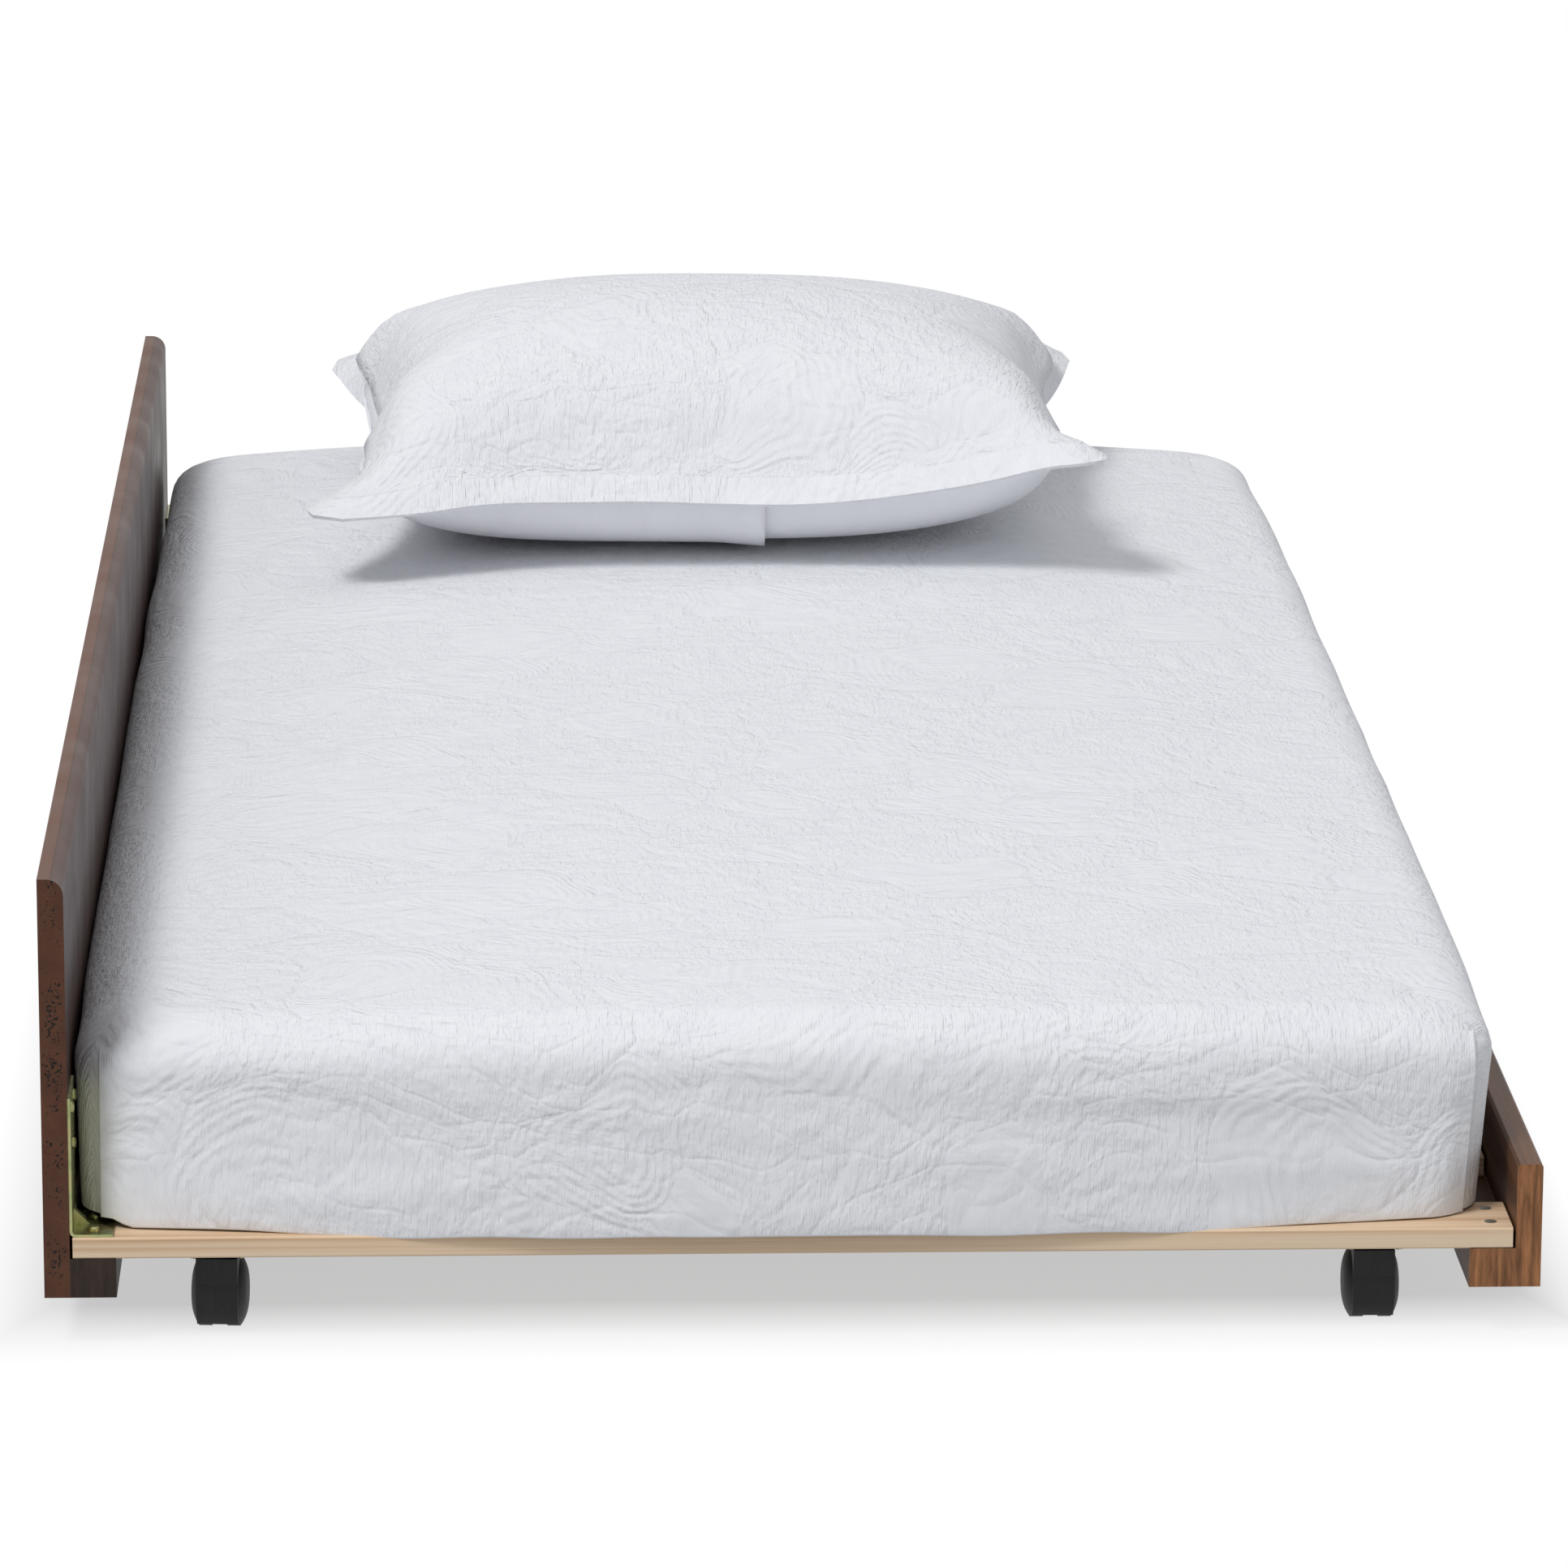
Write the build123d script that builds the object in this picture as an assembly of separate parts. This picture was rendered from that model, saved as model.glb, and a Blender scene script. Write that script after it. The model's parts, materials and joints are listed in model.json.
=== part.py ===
from build123d import *
import os
from math import cos, radians, sin

# Low trundle bed on four swivel casters, made up with a mattress, a quilted coverlet and one pillow.
# Millimetres. X runs across the bed from the tall front panel to the low rear rail, Y runs along the
# bed to the head end, and Z is up. The origin is on the floor under the middle of the bed.

# Mattress, a standard single with a crowned top, bowed sides and a base a little narrower than its top
MATTRESS_WIDTH = 990.0
MATTRESS_LENGTH = 1905.0
MATTRESS_HEIGHT = 150.0
MATTRESS_CROWN = 9.0
MATTRESS_SIDE_BOW = 6.0
MATTRESS_SIDE_DRAFT = 8.0
MATTRESS_END_BOW = 30.0
MATTRESS_CORNER_RADIUS = 42.0
MATTRESS_TOP_ROUND = 30.0
MATTRESS_BASE_ROUND = 30.0

# Frame boards, set round the mattress
SIDE_GAP = 7.0
END_MARGIN = 2.5
PANEL_THICKNESS = 18.0
PANEL_HEIGHT = 300.0
PANEL_ROUND = 12.0
RAIL_THICKNESS = 18.0
RAIL_HEIGHT = 89.0
RAIL_EASE = 2.0
LEDGER_WIDTH = 32.0
LEDGER_HEIGHT = 28.0

# Slats
SLAT_COUNT = 12
SLAT_WIDTH = 62.0
SLAT_THICKNESS = 15.0
SLAT_END_GAP = 2.0
SLAT_EASE = 1.2

# Wood screws: countersunk through slats and ledgers, pan heads on the metal fittings
SHANK_RADIUS = 2.1
COUNTERSUNK_RADIUS = 4.4
COUNTERSUNK_DEPTH = 2.6
PAN_RADIUS = 4.2
PAN_HEIGHT = 2.2
PAN_CROWN_RADIUS = 2.8
HOLE_CLEARANCE = 0.1
SLAT_SCREW_BITE = 22.0
PAIR_SPACING = 31.0
LEDGER_SCREW_BITE = 11.0
BRACKET_SCREW_BITE = 12.0
CASTER_SCREW_BITE = 11.0

# Steel angle brackets that hold the front panel upright
BRACKET_COUNT = 4
BRACKET_WIDTH = 58.0
BRACKET_RISE = 100.0
BRACKET_REACH = 30.0
BRACKET_GAUGE = 2.0
BRACKET_BEND = 2.5
BRACKET_TOP_ROW = 10.0
BRACKET_LOW_ROW = 40.0
GUSSET_WIDTH = 7.0
GUSSET_REACH = 11.0

# Twin-wheel hooded casters
CASTER_INSET_FRONT = 101.0
CASTER_INSET_REAR = 96.0
CASTER_TURNS = {"near_front": -4.0, "near_rear": 0.0, "far_front": 164.0, "far_rear": -158.0}
CASTER_TRAIL = 17.0
WHEEL_RADIUS = 25.0
WHEEL_GAP = 11.2
TREAD_WIDTH = 8.6
WHEEL_DOME = 5.3
HUB_CAP_RADIUS = 9.0
AXLE_RADIUS = 3.0
AXLE_END_WALL = 3.0
BEARING_CLEARANCE = 0.06
SIDE_CLEARANCE = 0.3
TREAD_CLEARANCE = 1.0
HOOD_WALL = 2.5
HOOD_WIDTH = 29.0
HOOD_WEB = 8.6
HOOD_FRONT_ANGLE = 220.0
HOOD_BACK_ANGLE = 50.0
AXLE_BOSS_RADIUS = 7.0
STEM_RADIUS = 4.0
STEM_DEPTH = 26.0
NECK_RADIUS = 7.5
NECK_RISE = 5.5
SHOULDER_DEPTH = 18.0
SHOULDER_DROP = 1.6
SHOULDER_EDGE = 2.0
WASHER_THICKNESS = 2.0
PLATE_SIZE = 42.0
PLATE_GAUGE = 2.0
PLATE_CORNER = 5.0
PLATE_HOLE_PITCH = 32.0

# Bedding
SOFT_GAP = 0.3
COVERLET_THICKNESS = 2.5
FOLD_THICKNESS = 2.5
FOLD_INSET = 34.0
FOLD_TOP = 42.0
HEM_LIFT = 0.4
PILLOW_WIDTH = 628.0
PILLOW_DEPTH = 440.0
PILLOW_RISE = 128.0
PILLOW_DROP = 92.0
PILLOW_FLATTEN = 10.0
PILLOW_EDGE = 7.0
PILLOW_WAIST = 14.0
PILLOW_SHIFT = -14.0
PILLOW_HEAD_GAP = 75.0
SHAM_THICKNESS = 1.8
FLANGE_WIDTH = 27.0
FLANGE_THICKNESS = 2.4

# Sizes that follow from the ones above
INNER_WIDTH = MATTRESS_WIDTH + 2 * SIDE_GAP
BED_LENGTH = MATTRESS_LENGTH + 2 * END_MARGIN
BED_WIDTH = PANEL_THICKNESS + INNER_WIDTH + RAIL_THICKNESS
PANEL_INNER_X = PANEL_THICKNESS - BED_WIDTH / 2
RAIL_INNER_X = BED_WIDTH / 2 - RAIL_THICKNESS
HOOD_INNER_RADIUS = WHEEL_RADIUS + TREAD_CLEARANCE
HOOD_RADIUS = HOOD_INNER_RADIUS + HOOD_WALL
NECK_TOP = WHEEL_RADIUS + HOOD_RADIUS + NECK_RISE
WASHER_BASE = NECK_TOP + SIDE_CLEARANCE
PLATE_BASE = WASHER_BASE + WASHER_THICKNESS
SLAT_BASE = PLATE_BASE + PLATE_GAUGE
SLAT_TOP = SLAT_BASE + SLAT_THICKNESS
BOARD_BASE = SLAT_BASE - LEDGER_HEIGHT
SLAT_PITCH = (BED_LENGTH - SLAT_WIDTH) / (SLAT_COUNT - 1)
FRONT_SCREW_X = PANEL_INNER_X + LEDGER_WIDTH / 2
REAR_SCREW_X = RAIL_INNER_X - LEDGER_WIDTH / 2
BRACKET_TOP = SLAT_TOP + BRACKET_RISE
HEM_BASE = SLAT_TOP + BRACKET_GAUGE + PAN_HEIGHT + HEM_LIFT
COVERLET_TOP = SLAT_TOP + MATTRESS_HEIGHT + SOFT_GAP + COVERLET_THICKNESS


def slat_y(number):
    """Middle of a slat, counted from the foot end."""
    return SLAT_WIDTH / 2 - BED_LENGTH / 2 + (number - 1) * SLAT_PITCH


def bracket_slats():
    """Numbers of the slats that carry a bracket, spread evenly from the first slat to the last."""
    step = (SLAT_COUNT - 1) / (BRACKET_COUNT - 1)
    return [round(1 + step * place) for place in range(BRACKET_COUNT)]


def turned(outline):
    """Solid of revolution about Z from a closed outline drawn as (radius, height)."""
    return revolve(make_face(Plane.XZ * outline), Axis.Z)


def countersunk_screw(through, bite, clearance=0.0):
    """Countersunk screw pointing down, its head flush with the origin."""
    head = COUNTERSUNK_RADIUS + clearance
    shank = SHANK_RADIUS + clearance
    end = -through - bite - clearance
    points = [(0, 0), (head, 0), (shank, -COUNTERSUNK_DEPTH), (shank, end), (0, end)]
    return turned(Polyline(*points, close=True))


def pan_screw(through, bite):
    """Pan-head screw pointing down, the underside of its head at the origin."""
    end = -through - bite
    points = [(0, PAN_HEIGHT), (PAN_CROWN_RADIUS, PAN_HEIGHT), (PAN_RADIUS, PAN_HEIGHT / 2), (PAN_RADIUS, 0),
              (SHANK_RADIUS, 0), (SHANK_RADIUS, end), (0, end)]
    return turned(Polyline(*points, close=True))


def pilot_hole(through, bite):
    """Hole that a pan-head screw goes down, from the underside of its head."""
    depth = through + bite + HOLE_CLEARANCE
    return Pos(0, 0, -depth / 2) * Cylinder(SHANK_RADIUS + HOLE_CLEARANCE, depth)


# Places of the screws: each is a location whose -Z axis runs along the screw
def slat_screw_places():
    places = []
    for number in range(1, SLAT_COUNT + 1):
        at_end = number in (1, SLAT_COUNT)
        offsets = (-PAIR_SPACING / 2, PAIR_SPACING / 2) if at_end else (0.0,)
        for offset in offsets:
            places.append(Pos(REAR_SCREW_X, slat_y(number) + offset, SLAT_TOP))
        if number not in bracket_slats():
            places.append(Pos(FRONT_SCREW_X, slat_y(number), SLAT_TOP))
    return places


def ledger_screw_places():
    places = []
    height = BOARD_BASE + LEDGER_HEIGHT / 2
    for number in range(1, SLAT_COUNT, 2):
        y = slat_y(number) + SLAT_PITCH / 2
        places.append(Pos(PANEL_INNER_X + LEDGER_WIDTH, y, height) * Rot(0, 90, 0))
        places.append(Pos(RAIL_INNER_X - LEDGER_WIDTH, y, height) * Rot(0, -90, 0))
    return places


def bracket_floor_places():
    heights = SLAT_TOP + BRACKET_GAUGE
    pair = (-PAIR_SPACING / 2, PAIR_SPACING / 2)
    return [Pos(FRONT_SCREW_X, slat_y(number) + offset, heights)
            for number in bracket_slats() for offset in pair]


def bracket_wall_places():
    face = PANEL_INNER_X + BRACKET_GAUGE
    top = BRACKET_TOP - BRACKET_TOP_ROW
    low = BRACKET_TOP - BRACKET_LOW_ROW
    spots = [(-PAIR_SPACING / 2, top), (PAIR_SPACING / 2, top), (0.0, low)]
    return [Pos(face, slat_y(number) + offset, height) * Rot(0, 90, 0)
            for number in bracket_slats() for offset, height in spots]


def caster_places():
    front = PANEL_INNER_X + CASTER_INSET_FRONT
    rear = RAIL_INNER_X - CASTER_INSET_REAR
    spots = {"near_front": (front, slat_y(1)), "near_rear": (rear, slat_y(1)),
             "far_front": (front, slat_y(SLAT_COUNT)), "far_rear": (rear, slat_y(SLAT_COUNT))}
    return {name: Pos(x, y, 0) for name, (x, y) in spots.items()}


def caster_screw_places():
    half = PLATE_HOLE_PITCH / 2
    corners = [Pos(x, y, PLATE_BASE) * Rot(180, 0, 0) for x in (-half, half) for y in (-half, half)]
    return [place * corner for place in caster_places().values() for corner in corners]


def copies(shape, places):
    return [place * shape for place in places]


def cut_holes(board, hole, places):
    """Cuts the hole at each of the places that lies on the board."""
    box = board.bounding_box()
    reach = hole.bounding_box().diagonal
    low, high = box.min, box.max
    for place in places:
        spot = place.position
        near = all(a - reach < p < b + reach for a, p, b in zip(low, spot, high))
        if near:
            board -= place * hole
    return board


# Boards
def lengthwise_board(left, width, base, height):
    return Pos(left + width / 2, 0, base + height / 2) * Box(width, BED_LENGTH, height)


def front_panel():
    board = lengthwise_board(-BED_WIDTH / 2, PANEL_THICKNESS, BOARD_BASE, PANEL_HEIGHT)
    top_edges = board.edges().filter_by(Axis.Y).group_by(Axis.Z)[-1]
    board = fillet(top_edges.sort_by(Axis.X)[-1], PANEL_ROUND)
    pilot = pilot_hole(BRACKET_GAUGE, BRACKET_SCREW_BITE)
    board = cut_holes(board, pilot, bracket_wall_places())
    hole = countersunk_screw(LEDGER_WIDTH, LEDGER_SCREW_BITE, HOLE_CLEARANCE)
    return cut_holes(board, hole, ledger_screw_places())


def rear_rail():
    board = lengthwise_board(RAIL_INNER_X, RAIL_THICKNESS, BOARD_BASE, RAIL_HEIGHT)
    board = chamfer(board.edges().filter_by(Axis.Y).group_by(Axis.Z)[-1], RAIL_EASE)
    hole = countersunk_screw(LEDGER_WIDTH, LEDGER_SCREW_BITE, HOLE_CLEARANCE)
    return cut_holes(board, hole, ledger_screw_places())


def ledger(left):
    board = lengthwise_board(left, LEDGER_WIDTH, BOARD_BASE, LEDGER_HEIGHT)
    slat_hole = countersunk_screw(SLAT_THICKNESS, SLAT_SCREW_BITE, HOLE_CLEARANCE)
    board = cut_holes(board, slat_hole, slat_screw_places())
    bracket_hole = pilot_hole(BRACKET_GAUGE + SLAT_THICKNESS, SLAT_SCREW_BITE)
    board = cut_holes(board, bracket_hole, bracket_floor_places())
    cross_hole = countersunk_screw(LEDGER_WIDTH, LEDGER_SCREW_BITE, HOLE_CLEARANCE)
    return cut_holes(board, cross_hole, ledger_screw_places())


def slat(number):
    length = INNER_WIDTH - 2 * SLAT_END_GAP
    middle = (PANEL_INNER_X + RAIL_INNER_X) / 2
    board = Box(length, SLAT_WIDTH, SLAT_THICKNESS)
    board = chamfer(board.edges().filter_by(Axis.X), SLAT_EASE)
    board = Pos(middle, slat_y(number), SLAT_BASE + SLAT_THICKNESS / 2) * board
    slat_hole = countersunk_screw(SLAT_THICKNESS, SLAT_SCREW_BITE, HOLE_CLEARANCE)
    board = cut_holes(board, slat_hole, slat_screw_places())
    bracket_hole = pilot_hole(BRACKET_GAUGE + SLAT_THICKNESS, SLAT_SCREW_BITE)
    board = cut_holes(board, bracket_hole, bracket_floor_places())
    return cut_holes(board, pilot_hole(PLATE_GAUGE, CASTER_SCREW_BITE), caster_screw_places())


def angle_bracket(number):
    """Pressed steel angle with a gusset dimple in its bend, screwed to the slat and the panel."""
    g = BRACKET_GAUGE
    corners = Polyline((0, 0), (BRACKET_REACH, 0), (BRACKET_REACH, g), (g, g), (g, BRACKET_RISE),
                       (0, BRACKET_RISE), close=True)
    bent = extrude(make_face(Plane.XZ * corners), BRACKET_WIDTH / 2, both=True)
    bend_lines = bent.edges().filter_by(Axis.Y)
    inside = bend_lines.sort_by_distance((g, 0, g))[0]
    bent = fillet(inside, BRACKET_BEND)
    outside = bent.edges().filter_by(Axis.Y).sort_by_distance((0, 0, 0))[0]
    bent = fillet(outside, BRACKET_BEND + g)
    wedge = Polyline((g, g), (g + GUSSET_REACH, g), (g, g + GUSSET_REACH), close=True)
    bent += extrude(make_face(Plane.XZ * wedge), GUSSET_WIDTH / 2, both=True)
    bent = Pos(PANEL_INNER_X, slat_y(number), SLAT_TOP) * bent
    bent = cut_holes(bent, pilot_hole(g, SLAT_THICKNESS), bracket_floor_places())
    return cut_holes(bent, pilot_hole(g, BRACKET_SCREW_BITE), bracket_wall_places())


# Casters, each made about its swivel axis with the wheels trailing towards +Y
def drum_sector(radius):
    """Part of a disc round the axle, between the hood's back and front angles."""
    span = HOOD_FRONT_ANGLE - HOOD_BACK_ANGLE
    angles = [radians(HOOD_BACK_ANGLE + span * step / 3) for step in range(4)]
    far = [(2 * radius * cos(angle), 2 * radius * sin(angle)) for angle in angles]
    wedge = make_face(Polyline((0, 0), *far, close=True))
    return Plane.YZ * (Pos(CASTER_TRAIL, WHEEL_RADIUS) * (Circle(radius) & wedge))


def across_axle(radius, width):
    return Pos(0, CASTER_TRAIL, WHEEL_RADIUS) * Rot(0, 90, 0) * Cylinder(radius, width)


def caster_hood():
    """Moulded hood: a curved guard over both wheels, a square shoulder, a web, axle boss and stem socket."""
    guard = extrude(drum_sector(HOOD_RADIUS), HOOD_WIDTH / 2, both=True)
    guard -= across_axle(HOOD_INNER_RADIUS, HOOD_WIDTH + HOOD_WALL)
    neck_base = WHEEL_RADIUS
    neck_height = NECK_TOP - neck_base
    neck = Pos(0, 0, neck_base + neck_height / 2) * Cylinder(NECK_RADIUS, neck_height)
    shoulder_height = neck_height - SHOULDER_DROP
    shoulder = Box(HOOD_WIDTH, SHOULDER_DEPTH, shoulder_height)
    shoulder = chamfer(shoulder.faces().sort_by(Axis.Z)[-1].edges(), SHOULDER_EDGE)
    neck += Pos(0, 0, neck_base + shoulder_height / 2) * shoulder
    neck -= across_axle(HOOD_INNER_RADIUS, 2 * HOOD_WIDTH)
    web = extrude(drum_sector(HOOD_RADIUS), HOOD_WEB / 2, both=True)
    boss_width = WHEEL_GAP - 2 * SIDE_CLEARANCE
    socket_base = NECK_TOP - STEM_DEPTH - HOOD_WALL
    socket_height = NECK_TOP - socket_base
    socket = Pos(0, 0, socket_base + socket_height / 2) * Cylinder(boss_width / 2, socket_height)
    hood = guard + neck + web + across_axle(AXLE_BOSS_RADIUS, boss_width) + socket
    bore = Cylinder(STEM_RADIUS + BEARING_CLEARANCE, 2 * STEM_DEPTH)
    hood -= Pos(0, 0, NECK_TOP) * bore
    return hood - across_axle(AXLE_RADIUS + BEARING_CLEARANCE, 2 * boss_width)


def wheel_end():
    """Distance from the middle of a caster to the outer face of a wheel."""
    return WHEEL_GAP / 2 + TREAD_WIDTH + WHEEL_DOME


def caster_axle():
    return across_axle(AXLE_RADIUS, 2 * (wheel_end() - AXLE_END_WALL - SIDE_CLEARANCE))


def caster_wheel(side):
    """Wheel with a flat tread and a domed outer face that ends in a hub cap, side -1 or +1."""
    inner = WHEEL_GAP / 2
    tread_end = inner + TREAD_WIDTH
    bore = AXLE_RADIUS + BEARING_CLEARANCE
    bore_end = wheel_end() - AXLE_END_WALL
    cap_edge = (HUB_CAP_RADIUS, wheel_end())
    section = Polyline((WHEEL_RADIUS, tread_end), (WHEEL_RADIUS, inner), (bore, inner), (bore, bore_end),
                       (0, bore_end), (0, wheel_end()), cap_edge)
    dome = TangentArc(cap_edge, (WHEEL_RADIUS, tread_end), tangent=(1, 0))
    wheel = turned(section + dome)
    return Pos(0, CASTER_TRAIL, WHEEL_RADIUS) * Rot(0, side * 90, 0) * wheel


def caster_plate():
    """Square top plate with four screw holes."""
    plate = Pos(0, 0, PLATE_BASE + PLATE_GAUGE / 2) * Box(PLATE_SIZE, PLATE_SIZE, PLATE_GAUGE)
    plate = fillet(plate.edges().filter_by(Axis.Z), PLATE_CORNER)
    hole = Cylinder(SHANK_RADIUS + HOLE_CLEARANCE, 4 * PLATE_GAUGE)
    half = PLATE_HOLE_PITCH / 2
    for x in (-half, half):
        for y in (-half, half):
            plate -= Pos(x, y, PLATE_BASE) * hole
    return plate


def caster_stem():
    height = PLATE_BASE - NECK_TOP + STEM_DEPTH - SIDE_CLEARANCE
    return Pos(0, 0, PLATE_BASE - height / 2) * Cylinder(STEM_RADIUS, height)


def caster_washer():
    ring = Cylinder(NECK_RADIUS, WASHER_THICKNESS) - Cylinder(STEM_RADIUS + HOLE_CLEARANCE, WASHER_THICKNESS)
    return Pos(0, 0, WASHER_BASE + WASHER_THICKNESS / 2) * ring


def caster_parts():
    pieces = {"plate": caster_plate(), "washer": caster_washer(), "stem": caster_stem(),
              "hood": caster_hood(), "axle": caster_axle(),
              "left_wheel": caster_wheel(-1), "right_wheel": caster_wheel(1)}
    turning = ("hood", "axle", "left_wheel", "right_wheel")
    nodes = {}
    for name, place in caster_places().items():
        for piece, shape in pieces.items():
            turn = CASTER_TURNS[name] if piece in turning else 0.0
            nodes[f"caster_{name}_{piece}"] = place * Rot(0, 0, turn) * shape
    return nodes


# Bedding
def pad_plan(half_width, half_length, corner_radius):
    """Outline of the mattress at one height, with bowed sides and rounded corners."""
    corner_x = half_width - MATTRESS_SIDE_BOW
    corner_y = half_length - MATTRESS_END_BOW
    sides = [ThreePointArc((-corner_x, -corner_y), (0, -half_length), (corner_x, -corner_y)),
             ThreePointArc((corner_x, -corner_y), (half_width, 0), (corner_x, corner_y)),
             ThreePointArc((corner_x, corner_y), (0, half_length), (-corner_x, corner_y)),
             ThreePointArc((-corner_x, corner_y), (-half_width, 0), (-corner_x, -corner_y))]
    plan = make_face(sides)
    return fillet(plan.vertices(), corner_radius)


def pad_form(grow, base, base_round=0.0):
    """Mattress form grown outwards by a layer: narrower base, crowned top and rounded edges."""
    half_width = MATTRESS_WIDTH / 2 + grow
    half_length = MATTRESS_LENGTH / 2 + grow
    top = SLAT_TOP + MATTRESS_HEIGHT + grow
    draft = MATTRESS_SIDE_DRAFT * (top - base) / MATTRESS_HEIGHT
    corner = MATTRESS_CORNER_RADIUS + grow
    block = loft([Pos(0, 0, base) * pad_plan(half_width - draft, half_length, corner),
                  Pos(0, 0, top) * pad_plan(half_width, half_length, corner)])
    edge_top = top - MATTRESS_CROWN
    crown = ThreePointArc((half_width, edge_top), (0, top), (-half_width, edge_top))
    walls = Polyline((-half_width, edge_top), (-half_width, base), (half_width, base), (half_width, edge_top))
    arch = extrude(make_face(Plane.XZ * (crown + walls)), MATTRESS_LENGTH, both=True)
    pad = block & arch
    top_face = pad.faces().sort_by(Axis.Z)[-1]
    pad = fillet(top_face.edges(), MATTRESS_TOP_ROUND + grow)
    if base_round > 0:
        pad = fillet(pad.faces().sort_by(Axis.Z)[0].edges(), base_round)
    return pad


def mattress():
    return pad_form(0.0, SLAT_TOP, MATTRESS_BASE_ROUND)


def coverlet():
    """Coverlet over the mattress, with a folded layer across each end like a wrapped parcel."""
    inside = pad_form(SOFT_GAP, HEM_BASE)
    outside = pad_form(SOFT_GAP + COVERLET_THICKNESS, HEM_BASE)
    folded = pad_form(SOFT_GAP + COVERLET_THICKNESS + FOLD_THICKNESS, HEM_BASE)
    fold_width = MATTRESS_WIDTH - 2 * FOLD_INSET
    fold_height = COVERLET_TOP - FOLD_TOP - HEM_BASE
    band = Box(fold_width, 2 * MATTRESS_LENGTH, fold_height)
    folds = folded & (Pos(0, 0, HEM_BASE + fold_height / 2) * band)
    return outside + folds - inside


def pillow_form(grow):
    """Plump pillow: lens sections across its width, thin at the ends, with drawn-in front and back."""
    half_width = PILLOW_WIDTH / 2 + grow
    sections = []
    for share in (-1.0, -0.82, -0.45, 0.0, 0.45, 0.82, 1.0):
        swell = (1 - abs(share) ** 3) ** 0.5
        rise = PILLOW_EDGE + (PILLOW_RISE - PILLOW_EDGE) * swell + grow
        drop = PILLOW_EDGE + (PILLOW_DROP - PILLOW_EDGE) * swell + grow
        reach = PILLOW_DEPTH / 2 - PILLOW_WAIST * (1 - share ** 2) + grow
        upper = ThreePointArc((-reach, 0), (0, rise), (reach, 0))
        lower = ThreePointArc((reach, 0), (0, -drop), (-reach, 0))
        sections.append(Plane.YZ.offset(share * half_width) * make_face([upper, lower]))
    return loft(sections)


def pillow_place():
    middle = MATTRESS_LENGTH / 2 - PILLOW_HEAD_GAP - FLANGE_WIDTH - PILLOW_DEPTH / 2
    height = COVERLET_TOP + SOFT_GAP + PILLOW_DROP + SHAM_THICKNESS + SOFT_GAP - PILLOW_FLATTEN
    return Pos(PILLOW_SHIFT, middle, height)


def above_pillow_seat(lift):
    """Half space over the flat that the pillow presses on the bed."""
    floor = PILLOW_FLATTEN - PILLOW_DROP - SHAM_THICKNESS - SOFT_GAP + lift
    return Pos(0, 0, floor + PILLOW_WIDTH / 2) * Box(2 * PILLOW_WIDTH, 2 * PILLOW_WIDTH, PILLOW_WIDTH)


def pillow():
    return pillow_place() * (pillow_form(0.0) & above_pillow_seat(SHAM_THICKNESS + SOFT_GAP))


def pillow_sham():
    """Fitted cover with a flat flange sewn all round its seam."""
    outside = pillow_form(SOFT_GAP + SHAM_THICKNESS) & above_pillow_seat(0.0)
    inside = pillow_form(SOFT_GAP) & above_pillow_seat(SHAM_THICKNESS)
    wide = PILLOW_WIDTH + 2 * FLANGE_WIDTH
    deep = PILLOW_DEPTH + 2 * FLANGE_WIDTH
    x, y = wide / 2, deep / 2
    edges = [ThreePointArc((-x, -y), (0, PILLOW_WAIST - y), (x, -y)), Line((x, -y), (x, y)),
             ThreePointArc((x, y), (0, y - PILLOW_WAIST), (-x, y)), Line((-x, y), (-x, -y))]
    flange = extrude(make_face(edges), FLANGE_THICKNESS / 2, both=True)
    return pillow_place() * (outside + flange - inside)


nodes = {
    "front_panel": front_panel(),
    "front_ledger": ledger(PANEL_INNER_X),
    "rear_rail": rear_rail(),
    "rear_ledger": ledger(RAIL_INNER_X - LEDGER_WIDTH),
    "mattress": mattress(),
    "coverlet": coverlet(),
    "pillow": pillow(),
    "pillow_sham": pillow_sham(),
}
for number in range(1, SLAT_COUNT + 1):
    nodes[f"slat_{number:02d}"] = slat(number)
for number in bracket_slats():
    nodes[f"angle_bracket_{number:02d}"] = angle_bracket(number)
nodes.update(caster_parts())
slat_screw = countersunk_screw(SLAT_THICKNESS, SLAT_SCREW_BITE)
nodes["slat_screws"] = Compound(copies(slat_screw, slat_screw_places()))
ledger_screw = countersunk_screw(LEDGER_WIDTH, LEDGER_SCREW_BITE)
nodes["ledger_screws"] = Compound(copies(ledger_screw, ledger_screw_places()))
long_screw = pan_screw(BRACKET_GAUGE + SLAT_THICKNESS, SLAT_SCREW_BITE)
short_screw = pan_screw(BRACKET_GAUGE, BRACKET_SCREW_BITE)
bracket_screws = copies(long_screw, bracket_floor_places()) + copies(short_screw, bracket_wall_places())
nodes["bracket_screws"] = Compound(bracket_screws)
caster_screw = pan_screw(PLATE_GAUGE, CASTER_SCREW_BITE)
nodes["caster_screws"] = Compound(copies(caster_screw, caster_screw_places()))

os.makedirs("parts", exist_ok=True)
for name, shape in nodes.items():
    export_step(shape, f"parts/{name}.step")
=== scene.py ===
import json
import math

import bmesh
import bpy
from mathutils import Matrix, Vector, noise


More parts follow.
